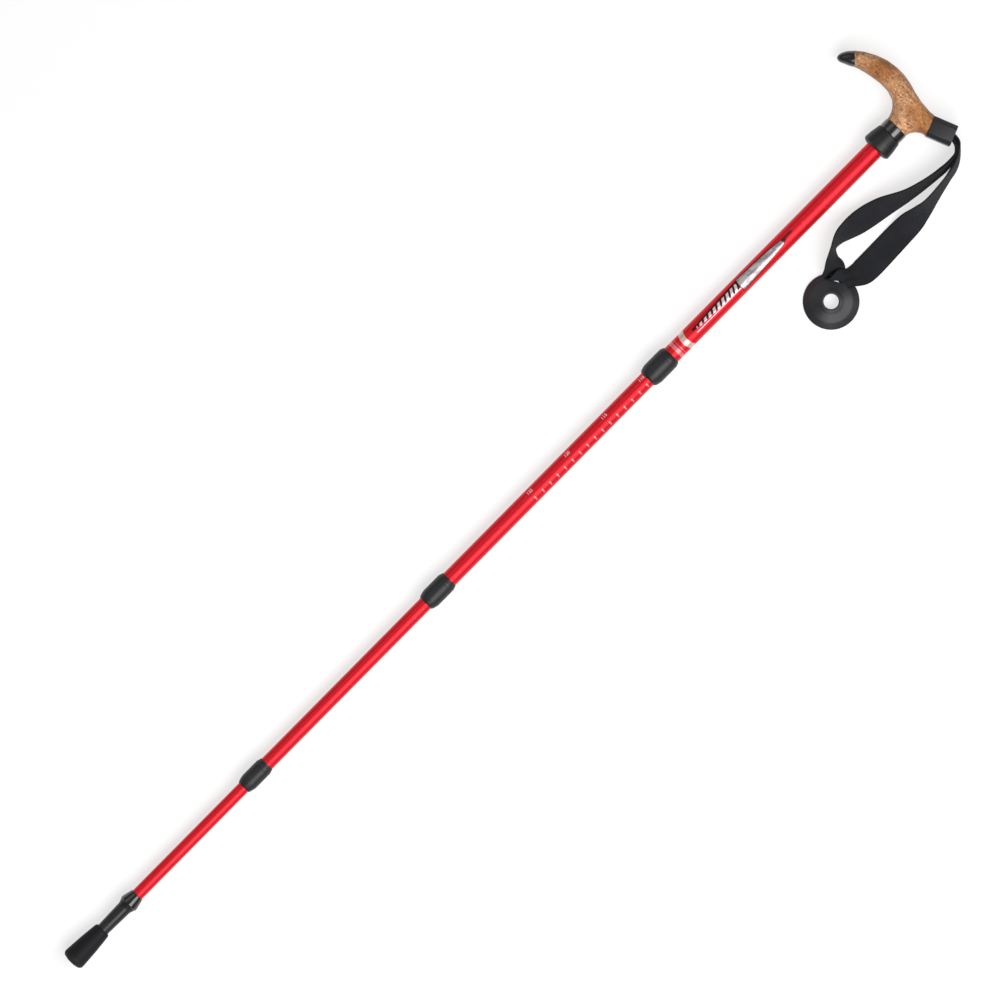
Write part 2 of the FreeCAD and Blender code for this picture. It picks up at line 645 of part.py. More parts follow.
strap_line = cord_path(STRAP_ROUTE)
strap_section = Part.Wire([Part.Circle(Vector(*STRAP_ROUTE[0]),
                                       Vector(*STRAP_ROUTE[1]) - Vector(*STRAP_ROUTE[0]),
                                       value("strap_radius")).toShape()])
wrist_strap = doc.addObject("Part::Feature", "wrist_strap")
wrist_strap.Shape = strap_line.makePipeShell([strap_section], True, False)
place(wrist_strap, CORK_LOW)
pieces.append(wrist_strap)
wanted = math.pi * value("strap_radius") ** 2 * strap_line.Length
print(f"strap {strap_line.Length:.1f} mm, volume {wrist_strap.Shape.Volume:.0f} of {wanted:.0f}")

# Mud basket: a domed disc with a hub, slit from the hub to the rim, lying on its flat side.
basket = new_body("mud_basket")
shell = basket.newObject("PartDesign::Revolution", "basket_shell")
shell.Profile = outline(basket, "basket_profile", [
    ("basket_bore", "0"),
    ("basket_bore + basket_wall", "0"),
    ("basket_bore + basket_wall", "basket_height - basket_wall - 1.6", "3 * basket_radius"),
    ("basket_radius - basket_wall", "0"),
    ("basket_radius", "0"),
    ("basket_radius", "0.8 * basket_wall", "-2.4 * basket_radius"),
    ("basket_bore + 1.7 * basket_wall", "basket_height - 1.2"),
    ("basket_bore + basket_wall", "basket_height"),
    ("basket_bore", "basket_height"),
], "XZ_Plane")
shell.ReferenceAxis = (shell.Profile[0], ["V_Axis"])
shell.Angle = 360
basket.Tip = shell
slice_off(basket, "basket_slit_cut", [
    ("0.5 * basket_bore", "-0.5 * basket_slit"),
    ("1.2 * basket_radius", "-0.5 * basket_slit"),
    ("1.2 * basket_radius", "0.5 * basket_slit"),
    ("0.5 * basket_bore", "0.5 * basket_slit"),
])
place(basket, f"({CORK_LOW} - basket_back)", "basket_across", FLOOR)
pieces.append(basket)

# ---------------------------------------------------------------- check and write
doc.recompute()
for thing in doc.Objects:
    if "Invalid" in thing.State or "Error" in thing.State:
        raise ValueError(f"{thing.Label} failed: {thing.State}")
os.makedirs("parts", exist_ok=True)
for piece in pieces:
    shape = piece.Shape
    if shape.isNull() or not shape.isValid() or not shape.Solids:
        raise ValueError(f"{piece.Label} has no valid solid")
    shape.exportStep(os.path.join("parts", f"{piece.Label}.step"))
    print(f"{piece.Label:20s} {len(shape.Solids)} solid, {shape.Volume / 1000:8.2f} cm3")
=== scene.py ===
# %% [markdown]
# # A trekking pole, lying on a table with its strap spread out
# The CAD model already holds every size, joint and hidden part. This lesson dresses it: it makes
# the surfaces that a hand and an eye would meet, such as cork, webbing, moulded plastic, rubber
# and anodised tube. Everything is in metres, with +X from the foot to the handle, +Y on the side
# of the handle's horn and +Z up.

# %% Load the frame
import math

import bpy
import numpy as np
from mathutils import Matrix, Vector


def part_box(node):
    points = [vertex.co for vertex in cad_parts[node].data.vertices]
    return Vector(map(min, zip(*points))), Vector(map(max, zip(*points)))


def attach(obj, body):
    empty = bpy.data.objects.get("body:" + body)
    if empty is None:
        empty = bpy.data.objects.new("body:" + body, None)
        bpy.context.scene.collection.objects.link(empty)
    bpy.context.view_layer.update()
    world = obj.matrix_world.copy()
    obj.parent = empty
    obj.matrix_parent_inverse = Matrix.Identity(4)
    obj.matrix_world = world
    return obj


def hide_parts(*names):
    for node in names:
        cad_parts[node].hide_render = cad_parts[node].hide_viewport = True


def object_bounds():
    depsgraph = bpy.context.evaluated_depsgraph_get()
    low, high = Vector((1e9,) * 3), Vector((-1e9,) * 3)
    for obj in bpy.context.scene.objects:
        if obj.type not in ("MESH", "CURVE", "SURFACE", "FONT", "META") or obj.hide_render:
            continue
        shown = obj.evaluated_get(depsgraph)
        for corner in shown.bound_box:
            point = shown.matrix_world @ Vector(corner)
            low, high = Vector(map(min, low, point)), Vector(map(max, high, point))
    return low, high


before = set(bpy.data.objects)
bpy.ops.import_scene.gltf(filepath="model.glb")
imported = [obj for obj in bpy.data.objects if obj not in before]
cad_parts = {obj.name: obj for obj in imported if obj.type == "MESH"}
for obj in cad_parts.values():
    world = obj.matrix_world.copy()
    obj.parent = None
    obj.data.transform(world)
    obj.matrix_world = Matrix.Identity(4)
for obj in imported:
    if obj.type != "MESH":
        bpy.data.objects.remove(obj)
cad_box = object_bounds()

MM = 0.001
print("CAD box", [tuple(round(v, 4) for v in corner) for corner in cad_box])

# %% [markdown]
# ## Places
# A piece goes where the CAD says, so places come from the boxes of the CAD nodes. The pole's axis
# is the X axis itself, and the floor is as low as the lowest CAD part.

# %% Places along the pole
FLOOR = cad_box[0].z
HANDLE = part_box("handle_collar")[0].x
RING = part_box("neck_ring")[0].x
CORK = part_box("cork_grip")[0].x
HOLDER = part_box("tip_holder")
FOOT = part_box("rubber_foot")
BASKET = (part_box("mud_basket")[0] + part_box("mud_basket")[1]) / 2
TUBE = {1: "upper_tube", 2: "second_tube", 3: "third_tube", 4: "fourth_tube"}
TUBE_R = {k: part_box(name)[1].z for k, name in TUBE.items()}
print("tube radii, mm", [round(r / MM, 2) for r in TUBE_R.values()])
print(f"foot {(FOOT[1].x - FOOT[0].x) / MM:.1f} mm long, holder {(HOLDER[1].x - HOLDER[0].x) / MM:.1f}")

# %% [markdown]
# ## Camera, floor and lights
# The pole is seen from straight above with a long lens, so that its tubes stay parallel, and the
# camera is rolled until the pole climbs from the lower left to the upper right. The light is one
# broad soft panel above the strap's side in a dim room, with a weak one opposite that lifts the
# shade: long cylinders show their lights as long bands, and a broad panel makes the wide soft
# band of satin aluminium. The floor glows a little, like a light table, so that it stays pale and
# its shadows stay faint.

# %% Camera
ROLL = math.radians(-45.31)
CAMERA_PLACE = (0.5965, 0.0187, 7.883)
LONG_LENS = 300.0
FULL_FRAME = 36.0
bpy.ops.object.camera_add(location=CAMERA_PLACE, rotation=(0, 0, ROLL))
camera = bpy.context.object
camera.data.lens = LONG_LENS
camera.data.sensor_width = FULL_FRAME
camera.data.clip_end = 50.0
print(f"camera {CAMERA_PLACE[2] - FLOOR:.2f} m above the floor")
bpy.context.scene.camera = camera
bpy.context.scene.view_settings.view_transform = "Standard"

# %% Floor, world and lights
FLOOR_SIZE = 12.0
FLOOR_GLOW = 0.69
ROOM_LIGHT = 0.20
MIDDLE = Vector((0.58, 0, 0))
bpy.ops.mesh.primitive_plane_add(size=FLOOR_SIZE, location=(0.6, 0, FLOOR))
floor = bpy.context.object
floor.name = "floor"
floor_paint = bpy.data.materials.new("pale_floor")
floor_paint.use_nodes = True
floor_shader = floor_paint.node_tree.nodes["Principled BSDF"]
floor_shader.inputs["Base Color"].default_value = (0.30, 0.30, 0.30, 1)
floor_shader.inputs["Roughness"].default_value = 0.9
floor_shader.inputs["Specular IOR Level"].default_value = 0.0
floor_shader.inputs["Emission Color"].default_value = (1, 1, 1, 1)
floor_shader.inputs["Emission Strength"].default_value = FLOOR_GLOW
floor.data.materials.append(floor_paint)

world = bpy.data.worlds.new("studio")
world.use_nodes = True
world.node_tree.nodes["Background"].inputs["Color"].default_value = (1.0, 1.0, 1.0, 1)
world.node_tree.nodes["Background"].inputs["Strength"].default_value = ROOM_LIGHT
bpy.context.scene.world = world


def panel(name, place, size, power):
    """A soft light panel that faces the middle of the pole."""
    bpy.ops.object.light_add(type="AREA", location=place)
    lamp = bpy.context.object
    lamp.name = name
    lamp.data.shape = "RECTANGLE"
    lamp.data.size, lamp.data.size_y = size
    lamp.data.energy = power
    aim = MIDDLE - Vector(place)
    lamp.rotation_euler = aim.to_track_quat("-Z", "X").to_euler()
    print(f"{name}: {power} W over {size[0]} x {size[1]} m")


panel("key", (MIDDLE.x, -1.02, 1.82), (1.25, 3.2), 70)
panel("fill", (MIDDLE.x, 1.5, 1.7), (1.2, 3.0), 9)

# %% [markdown]
# ## Helpers for modelling by hand
# An operator acts on everything that is selected, so each helper starts from a clear selection.
# Round parts are turned: one point is drawn out into half an outline, which is spun about an
# axis. Bent round parts are lofted: rings are set along a line and bridged.

# %% Selection and modifiers
def clear():
    """Leaves edit mode and deselects everything."""
    if bpy.context.object and bpy.context.object.mode != "OBJECT":
        bpy.ops.object.mode_set(mode="OBJECT")
    bpy.ops.object.select_all(action="DESELECT")


def take(*objects):
    """Selects these objects only; the last one is active."""
    clear()
    for obj in objects:
        obj.select_set(True)
    bpy.context.view_layer.objects.active = objects[-1]
    return objects[-1]


def modify(obj, kind, **settings):
    """Adds a modifier, sets it up and applies it."""
    take(obj)
    modifier = obj.modifiers.new(kind.lower(), kind)
    for key, setting in settings.items():
        setattr(modifier, key, setting)
    bpy.ops.object.modifier_apply(modifier=modifier.name)


def settle(obj):
    """Puts the object's place into its mesh."""
    take(obj)
    bpy.ops.object.transform_apply(location=True, rotation=True, scale=True)


WELD = 2e-6


def tidy_mesh(obj):
    """Merges doubled points and turns every face outward."""
    take(obj)
    bpy.ops.object.mode_set(mode="EDIT")
    bpy.ops.mesh.select_all(action="SELECT")
    bpy.ops.mesh.remove_doubles(threshold=WELD)
    bpy.ops.mesh.normals_make_consistent(inside=False)
    bpy.ops.object.mode_set(mode="OBJECT")


# %% Turned and lofted forms
def turned(name, outline, about="X", steps=96):
    """Spins an outline of (along, radius) points, in metres, about the X or the Z axis."""
    def spot(along, radius):
        return Vector((along, radius, 0)) if about == "X" else Vector((radius, 0, along))

    clear()
    bpy.ops.mesh.primitive_plane_add(size=MM, location=(0, 0, 0))
    obj = bpy.context.object
    obj.name = name
    bpy.ops.object.mode_set(mode="EDIT")
    bpy.ops.mesh.select_all(action="SELECT")
    bpy.ops.mesh.merge(type="CENTER")
    bpy.ops.transform.translate(value=spot(*outline[0]))
    for before, after in zip(outline, outline[1:]):
        step = spot(*after) - spot(*before)
        bpy.ops.mesh.extrude_region_move(TRANSFORM_OT_translate={"value": step})
    bpy.ops.mesh.select_all(action="SELECT")
    bpy.ops.mesh.remove_doubles(threshold=WELD)
    axis = (1, 0, 0) if about == "X" else (0, 0, 1)
    bpy.ops.mesh.spin(steps=steps, angle=2 * math.pi, center=(0, 0, 0), axis=axis)
    bpy.ops.object.mode_set(mode="OBJECT")
    tidy_mesh(obj)
    return obj


def eased(corners, steps=5):
    """A closed outline in metres from (along, radius, rounding) corners in mm, rounded by arcs."""
    points = []
    for before, corner, after in zip(corners[-1:] + corners[:-1], corners, corners[1:] + corners[:1]):
        here = Vector(corner[:2])
        arriving = here - Vector(before[:2])
        leaving = Vector(after[:2]) - here
        rounding = corner[2] if len(corner) > 2 else 0
        half_turn = arriving.angle(leaving) / 2
        if rounding == 0 or half_turn < 0.01:
            points.append(here * MM)
            continue
        cut_back = min(rounding * math.tan(half_turn), arriving.length * 0.49, leaving.length * 0.49)
        enter = here - arriving.normalized() * cut_back
        leave = here + leaving.normalized() * cut_back
        for i in range(steps + 1):
            t = i / steps
            points.append((enter * (1 - t) ** 2 + here * 2 * t * (1 - t) + leave * t * t) * MM)
    return points + points[:1]


def loft(name, rings, sides=72):
    """Bridges rings into a closed form: a ring is (centre, turn, half width, half depth, square).

    The ring stands upright, its width runs at the turn's angle in the XY plane, and square is 0
    for an ellipse and up to 1 for nearly a box.
    """
    clear()
    hoops = []
    for centre, turn, half_width, half_depth, square in rings:
        bpy.ops.mesh.primitive_circle_add(
            vertices=sides, radius=1, location=centre, rotation=(math.pi / 2, 0, turn))
        hoop = bpy.context.object
        power = 1 - 0.6 * square
        for point in hoop.data.vertices:
            wide, deep = point.co.x, point.co.y
            point.co.x = math.copysign(abs(wide) ** power, wide) * half_width
            point.co.y = math.copysign(abs(deep) ** power, deep) * half_depth
        hoops.append(hoop)
    obj = take(*hoops)
    bpy.ops.object.join()
    obj.name = name
    settle(obj)
    bpy.ops.object.mode_set(mode="EDIT")
    bpy.ops.mesh.select_all(action="SELECT")
    bpy.ops.mesh.bridge_edge_loops()
    bpy.ops.mesh.select_all(action="DESELECT")
    bpy.ops.mesh.select_non_manifold(extend=False, use_wire=True, use_boundary=True,
                                     use_multi_face=False, use_non_contiguous=False, use_verts=False)
    bpy.ops.mesh.fill_holes(sides=0)
    bpy.ops.object.mode_set(mode="OBJECT")
    tidy_mesh(obj)
    return obj


def saw_off(obj, place, away):
    """Cuts off what lies past a plane and closes the cut."""
    take(obj)
    bpy.ops.object.mode_set(mode="EDIT")
    bpy.ops.mesh.select_all(action="SELECT")
    bpy.ops.mesh.bisect(plane_co=place, plane_no=away, use_fill=True, clear_outer=True)
    bpy.ops.object.mode_set(mode="OBJECT")


def dress(obj, paint, body, *nodes, smooth=32):
    """Shades, paints and hangs a finished piece on its body, in place of CAD nodes."""
    take(obj)
    bpy.ops.object.shade_smooth_by_angle(angle=math.radians(smooth))
    obj.data.materials.clear()
    obj.data.materials.append(paint)
    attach(obj, body)
    if nodes:
        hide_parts(*nodes)
    points = np.array([v.co[:] for v in obj.data.vertices])
    span = np.round((points.max(0) - points.min(0)) / MM, 1)
    print(f"{obj.name}: {len(obj.data.polygons)} faces, {span} mm")


# %% [markdown]
# ## Shader sums
# A pattern is a sum on places, such as how far along the tube a point lies. The class below lets
# such a sum be written as one: each operator adds its own Math node.

# %% The socket class and the paint maker
class Wire:
    """A shader socket that can be added, multiplied and compared like a number."""

    def __init__(self, tree, socket):
        self.tree = tree
        self.socket = socket

    def node(self, kind, settings=None, sockets=None, out=0):
        """Any node: its settings first, then the values or links of its sockets."""
        made = self.tree.nodes.new(kind)
        for key, setting in (settings or {}).items():
            setattr(made, key, setting)
        for key, fed in (sockets or {}).items():
            if isinstance(fed, Wire):
                self.tree.links.new(fed.socket, made.inputs[key])
            else:
                made.inputs[key].default_value = fed
        return Wire(self.tree, made.outputs[out])

    def maths(self, operation, *others):
        fed = dict(enumerate((self, *others)))
        return self.node("ShaderNodeMath", {"operation": operation}, fed)

    def __add__(self, other):
        return self.maths("ADD", other)

    def __sub__(self, other):
        return self.maths("SUBTRACT", other)

    def __rsub__(self, other):
        return self.node("ShaderNodeMath", {"operation": "SUBTRACT"}, {0: other, 1: self})

    def __mul__(self, other):
        return self.maths("MULTIPLY", other)

    def __truediv__(self, other):
        return self.maths("DIVIDE", other)

    def __pow__(self, other):
        return self.maths("POWER", other)

    __radd__ = __add__
    __rmul__ = __mul__

    def size(self):
        return self.maths("ABSOLUTE")

    def wave(self):
        return self.maths("SINE")

    def fract(self):
        return self.maths("FRACT")

    def floor(self):
        return self.maths("FLOOR")

    def least(self, other):
        return self.maths("MINIMUM", other)

    def most(self, other):
        return self.maths("MAXIMUM", other)

    def above(self, edge, soft=0.15):
        """0 below the edge and 1 above it, with a soft step."""
        return self.node("ShaderNodeMapRange", {"interpolation_type": "SMOOTHSTEP"},
                         {0: self, 1: edge - soft, 2: edge + soft, 3: 0.0, 4: 1.0})

    def below(self, edge, soft=0.15):
        return 1 - self.above(edge, soft)

    def between(self, low, high, soft=0.15):
        return self.above(low, soft) * self.below(high, soft)

    def blend(self, first, second):
        """The first colour where this mask is 0 and the second where it is 1."""
        return self.node("ShaderNodeMix", {"data_type": "RGBA"},
                         {0: self, 6: colour(first), 7: colour(second)}, out=2)


def colour(value):
    """A colour as a socket takes it."""
    return value if isinstance(value, Wire) else (*value, 1)


class Paint:
    """One material: a Principled shader, and the places that its patterns are drawn on."""

    def __init__(self, name, slot, **fixed):
        self.material = bpy.data.materials.new(name)
        self.material.use_nodes = True
        self.material["slot"] = slot
        self.tree = self.material.node_tree
        self.shader = self.tree.nodes["Principled BSDF"]
        for key, setting in fixed.items():
            self.shader.inputs[key.replace("_", " ")].default_value = setting
        spots = self.tree.nodes.new("ShaderNodeTexCoord")
        self.spot = Wire(self.tree, spots.outputs["Object"])
        self.uv = Wire(self.tree, spots.outputs["UV"])
        parts = self.tree.nodes.new("ShaderNodeSeparateXYZ")
        self.tree.links.new(self.spot.socket, parts.inputs[0])
        self.x, self.y, self.z = [Wire(self.tree, parts.outputs[i]) for i in range(3)]

    def stretched(self, scale, turn=0.0):
        """The object's places, scaled along each axis after a turn about Z."""
        return self.spot.node("ShaderNodeMapping", {"vector_type": "POINT"},
                              {"Vector": self.spot, "Rotation": (0, 0, turn), "Scale": scale})

    def noise(self, scale, detail=3.0, rough=0.5, on=None, out=0):
        return self.spot.node("ShaderNodeTexNoise", {}, {
            "Vector": on or self.spot, "Scale": scale, "Detail": detail, "Roughness": rough}, out)

    def cells(self, scale, feature="F1", on=None, out=0):
        return self.spot.node("ShaderNodeTexVoronoi", {"feature": feature}, {
            "Vector": on or self.spot, "Scale": scale}, out)

    def feed(self, name, wire):
        self.tree.links.new(wire.socket, self.shader.inputs[name])

    def bump(self, height, deep, strength=1.0):
        """Raises the surface by up to deep metres where height is 1."""
        raised = height.node("ShaderNodeBump", {}, {
            "Strength": strength, "Distance": deep, "Height": height})
        self.feed("Normal", raised)


# %% [markdown]
# ## The wrist strap
# The strap is a flat cord: 25 mm webbing that leaves the handle's block edge-up, twists until it
# lies flat, dips through the basket's slot, and comes back as the other side of the loop. Its
# centre line is a smooth curve that is drawn towards the same points as the CAD cord. The flat
# band is built on points read from that curve, and it twists as the route says. Its two ends are
# folded back on themselves and sewn, so there it is nearly twice as thick.

# %% The strap's line
# (along from the cork's start, across, up, swing, lift, gather): lengths in mm, then the
# direction of the band's width in degrees, as its swing from the pole's axis and its lift from
# the floor, and last how much of its width is left where the slot gathers it.
STRAP_ROUTE = [
    (31.6, -34.11, 0, 90, 90, 1), (34.2, -48.6, 0, 90, 90, 1), (26.6, -57.6, -0.6, 90, 84, 1),
    (14.6, -65.4, -1.8, 90, 77, 1), (-1, -68.9, -2.0, 90, 75, 1), (-16, -71.3, -2.5, 90, 70, 1),
    (-31, -73.6, -3.4, 90, 62, 1), (-43, -73.4, -5.8, 90, 44, 1), (-53, -73.2, -9.0, 90, 24, 1),
    (-66, -73.2, -13.0, 90, 5, 1), (-85, -73.6, -14.1, 90, 0, 1.03), (-105, -74.2, -14.1, 90, 0, 1.05),
    (-119, -74.0, -14.0, 92, 0, 1.03), (-127, -71.2, -11.8, 98, 0, 0.86), (-132, -68.6, -9.6, 108, 0, 0.76),
    (-137.5, -65.0, -8.4, 116, 0, 0.80), (-142.2, -62.6, -9.8, 120, 0, 0.84),
    (-141.6, -60.2, -13.8, 120, 4, 0.86), (-138.9, -55.2, -12.8, 120, 22, 0.9),
    (-136, -50.2, -7.8, 120, 44, 1), (-132, -44.4, -4.4, 122, 62, 1), (-123, -37.2, -2.2, 118, 80, 1),
    (-111, -34.0, -3.2, 106, 60, 1), (-100, -35.4, -5.8, 95, 44, 1), (-88, -38.0, -8.3, 90, 29, 1),
    (-76, -40.4, -8.8, 90, 26, 1), (-62, -43.9, -6.9, 90, 36, 1), (-50, -48.4, -4.8, 90, 50, 1),
    (-38, -52.8, -3.0, 90, 62, 1), (-22, -56.4, -2.4, 90, 69, 1), (-4, -59.2, -2.0, 90, 74, 1),
    (10, -60.2, -0.8, 90, 79, 1), (22.6, -57.8, 0, 90, 86, 1), (30.6, -49.2, 0, 90, 90, 1),
    (28.6, -36.54, 0, 90, 90, 1),
]
STRAP_WIDTH = 25 * MM
STRAP_THICK = 1.6 * MM
DOUBLED = 55 * MM
DOUBLED_MORE = 0.75
FOLD_FADE = 10 * MM
GATHERED_WAVES = 2.2 * MM

route = bpy.data.curves.new("strap_route", "CURVE")
route.dimensions = "3D"
route.resolution_u = 8
line = route.splines.new("NURBS")
line.points.add(len(STRAP_ROUTE) - 1)
for point, (along, across, up, *turn) in zip(line.points, STRAP_ROUTE):
    point.co = (CORK + along * MM, across * MM, up * MM, 1)
line.order_u = 3
line.use_endpoint_u = True
route_object = bpy.data.objects.new("strap_route", route)
bpy.context.scene.collection.objects.link(route_object)
line_mesh = bpy.data.meshes.new_from_object(route_object)
strap_line = np.array([v.co[:] for v in line_mesh.vertices])
bpy.data.objects.remove(route_object)
steps = np.linalg.norm(np.diff(strap_line, axis=0), axis=1)
strap_along = np.concatenate([[0], np.cumsum(steps)])
print(f"strap line {strap_along[-1] / MM:.0f} mm in {len(strap_line)} points")

# %% The strap's band
# Each point of the line takes its width's direction from the route points on either side. The
# band is an outline of points at each place along the line, bridged to the next.
corners = np.array([(CORK + p[0] * MM, p[1] * MM, p[2] * MM) for p in STRAP_ROUTE])
nearest = [np.argmin(np.linalg.norm(strap_line - corner, axis=1)) for corner in corners]
reach = strap_along[nearest]


def eased_along(values):
    """Values at the route's points, spread along the line and eased into each other."""
    spread = np.interp(strap_along, reach, values)
    window = np.hanning(11) / np.hanning(11).sum()
    return np.convolve(np.pad(spread, 5, mode="edge"), window, mode="valid")


swing = np.radians(eased_along([p[3] for p in STRAP_ROUTE]))
lift = np.radians(eased_along([p[4] for p in STRAP_ROUTE]))
gather = eased_along([p[5] for p in STRAP_ROUTE])
ahead = np.gradient(strap_line, axis=0)
ahead /= np.linalg.norm(ahead, axis=1)[:, None]
wide = np.stack([np.cos(swing) * np.cos(lift), np.sin(swing) * np.cos(lift), np.sin(lift)], axis=1)
wide -= ahead * (ahead * wide).sum(axis=1)[:, None]
wide /= np.linalg.norm(wide, axis=1)[:, None]
thin = np.cross(ahead, wide)
ACROSS = 14
flat = np.concatenate([np.linspace(-1, 1, ACROSS), np.linspace(1, -1, ACROSS)])
side = np.array([1] * ACROSS + [-1] * ACROSS)
edge = np.sqrt(np.clip(1 - (np.abs(flat) * 0.985) ** 10, 0, 1))
ripple = np.cos(flat * 2.5 * math.pi)[None, :] * (1 - gather)[:, None] * GATHERED_WAVES
from_end = np.minimum(strap_along, strap_along[-1] - strap_along)
thick = STRAP_THICK * (1 + DOUBLED_MORE * np.clip((DOUBLED - from_end) / FOLD_FADE, 0, 1))
band = (strap_line[:, None, :]
        + wide[:, None, :] * (flat[None, :] * gather[:, None] * STRAP_WIDTH / 2)[..., None]
        + thin[:, None, :] * ripple[..., None]
        + thin[:, None, :] * ((side * edge)[None, :] * thick[:, None] / 2)[..., None])
count, around = band.shape[:2]
print(f"strap's lowest point {(band[..., 2].min() - FLOOR) / MM:.1f} mm above the floor")
band[..., 2] = np.maximum(band[..., 2], FLOOR + 0.1 * MM)
faces = []
for i in range(count - 1):
    for j in range(around):
        k = (j + 1) % around
        faces.append((i * around + j, i * around + k, (i + 1) * around + k, (i + 1) * around + j))
faces.append(tuple(range(around))[::-1])
faces.append(tuple((count - 1) * around + j for j in range(around)))
strap_mesh = bpy.data.meshes.new("wrist_strap_webbing")
strap_mesh.from_pydata(band.reshape(-1, 3).tolist(), [], faces)
weave = strap_mesh.uv_layers.new(name="weave")
for face in strap_mesh.polygons:
    for loop in face.loop_indices:
        i, j = divmod(strap_mesh.loops[loop].vertex_index, around)
        weave.data[loop].uv = (strap_along[i] / MM, flat[j] * STRAP_WIDTH / 2 / MM)
strap = bpy.data.objects.new("wrist_strap_webbing", strap_mesh)
bpy.context.scene.collection.objects.link(strap)
tidy_mesh(strap)

# %% [markdown]
# ## Webbing
# Narrow webbing is woven: cords run along it, and the weft crosses over and under them, so that
# from near it is rows of small slanted stitches. The band carries its own map in millimetres,
# along and across, and the weave is drawn on that.

# %% The webbing's finish
webbing = Paint("black_webbing", "webbing", Roughness=0.85, Sheen_Weight=0.02, Sheen_Roughness=0.5,
                Specular_IOR_Level=0.18)
along_mm = webbing.uv.node("ShaderNodeSeparateXYZ", {}, {0: webbing.uv})
across_mm = Wire(webbing.tree, along_mm.socket.node.outputs[1])
WARP = 1.15
STITCH = 1.9
EDGE_BAND_FROM = 11.2
row = (across_mm / WARP).floor()
lean = ((across_mm / WARP).fract() - 0.5).size()
stitch = ((along_mm / STITCH + row * 0.5 + lean * 0.55).fract() - 0.5).size() * 2
cord_round = 1 - (lean * 2) ** 2
woven = cord_round * 0.6 + stitch * 0.4
# Both edges of the band, from 11.2 mm off its middle outward, are painted darker.
darker_edges = across_mm.size().above(EDGE_BAND_FROM, 0.25)
fuzz = webbing.noise(2400, 2)
shade = (woven * 0.75 + fuzz * 0.25).above(0.45, 0.35)
worn = webbing.noise(60, 3).above(0.55, 0.2) * 0.4
cloth = shade.blend((0.0035, 0.0035, 0.0045), (0.016, 0.0165, 0.020))
cloth = (worn * shade).blend(cloth, (0.026, 0.027, 0.032))
cloth = darker_edges.blend(cloth, (0.006, 0.006, 0.008))
webbing.feed("Base Color", cloth)
webbing.bump(woven + fuzz * 0.25, 0.35 * MM, 0.9)
dress(strap, webbing.material, "handle", "wrist_strap", smooth=45)

# %% [markdown]
# ## The mud basket
# The basket is a shallow moulded dome with a hub that pushes over the tip holder. The strap is
# passed through a slot in its shell to keep the two together in the shop, and the strap's
# thickness under the rim props that side up, so the dome leans a little. It is turned about its
# own axis on the floor, the slot is cut, and then it is moved to its place and leant.

# %% The basket
# Outlines are in mm: (height, radius, rounding) here, and (along, radius, rounding) on the pole.
BASKET_RADIUS = 27.0
SLOT_FROM_HUB = (18.86, 9.95, 5.0)
SLOT_SIZE = (25.0, 3.8, 20.0)
SLOT_TURN = math.radians(120)
SLOT_ROUND = 1.4
FLOOR_GAP = 0.05
LEAN = math.radians(2.8)
basket = turned("mud_basket_moulding", eased([
    (0, 24.4), (0, 26.6, 0.4), (0.9, BASKET_RADIUS, 0.5), (1.9, 26.6, 0.6), (5.4, 20.5, 12), (8.4, 12.4, 3),
    (9.6, 9.9, 0.8), (10.0, 9.0, 0.5), (10.0, 7.2, 0.5), (0.0, 7.2, 0.3), (0.0, 9.0, 0.3),
    (6.4, 9.6, 1.5), (6.6, 12.0, 2), (3.8, 19.5, 12)]), about="Z", steps=128)
clear()
bpy.ops.mesh.primitive_cube_add(size=1, location=Vector(SLOT_FROM_HUB) * MM,
                                rotation=(0, 0, SLOT_TURN), scale=Vector(SLOT_SIZE) * MM)
slot_cutter = bpy.context.object
settle(slot_cutter)
modify(slot_cutter, "BEVEL", width=SLOT_ROUND * MM, segments=4, limit_method="ANGLE")
modify(basket, "BOOLEAN", object=slot_cutter, operation="DIFFERENCE", solver="EXACT")
bpy.data.objects.remove(slot_cutter)
basket.location = (BASKET.x, BASKET.y, FLOOR + FLOOR_GAP * MM)
settle(basket)
take(basket)
bpy.ops.object.mode_set(mode="EDIT")
bpy.ops.mesh.select_all(action="SELECT")
bpy.ops.transform.rotate(value=LEAN, orient_axis="Y",
                         center_override=(BASKET.x - BASKET_RADIUS * MM, BASKET.y, FLOOR))
bpy.ops.object.mode_set(mode="OBJECT")
tidy_mesh(basket)
modify(basket, "BEVEL", width=0.25 * MM, segments=2, limit_method="ANGLE", angle_limit=math.radians(50))
low_side = min(v.co.z for v in basket.data.vertices) - FLOOR
print(f"basket stands {low_side / MM:.2f} mm above the floor at its lowest")

# %% [markdown]
# ## Moulded black plastic
# Satin plastic from an eroded mould has a fine grain that breaks up the light. Wear rubs in fine
# scratches, and dust greys it in patches.

# %% The plastic finishes
def plastic(name, slot, base, worn, rough, grain=0.05, coat=0.0, specks=0.15, polished_from=None):
    """Moulded plastic with an eroded grain, dusty patches and fine scratches.

    The surface past polished_from, in mm along the pole, is shinier.
    """
    paint = Paint(name, slot, Coat_Weight=coat, Coat_Roughness=0.15, Specular_IOR_Level=0.4)
    dust = paint.noise(35, 4, 0.6)
    grains = paint.noise(2600, 2, 0.6)
    scratches = paint.noise(900, 2, 0.5, on=paint.stretched((0.06, 1, 1), 0.4)).above(0.66, 0.03)
    tone = (dust.above(0.5, 0.25) * 0.7 + grains * 0.3).blend(base, worn)
    paint.feed("Base Color", (scratches * specks).blend(tone, tuple(3 * c for c in worn)))
    sheen = dust * 0.12 + scratches * 0.1 + grains * 0.06 + (rough - 0.1)
    if polished_from is not None:
        polished = (paint.x / MM).above(polished_from, 0.8)
        sheen = sheen - polished * 0.2
        paint.feed("Coat Weight", polished * 0.6)
    paint.feed("Roughness", sheen)
    paint.bump(grains + scratches * 0.3, grain * MM, 0.5)
    return paint.material


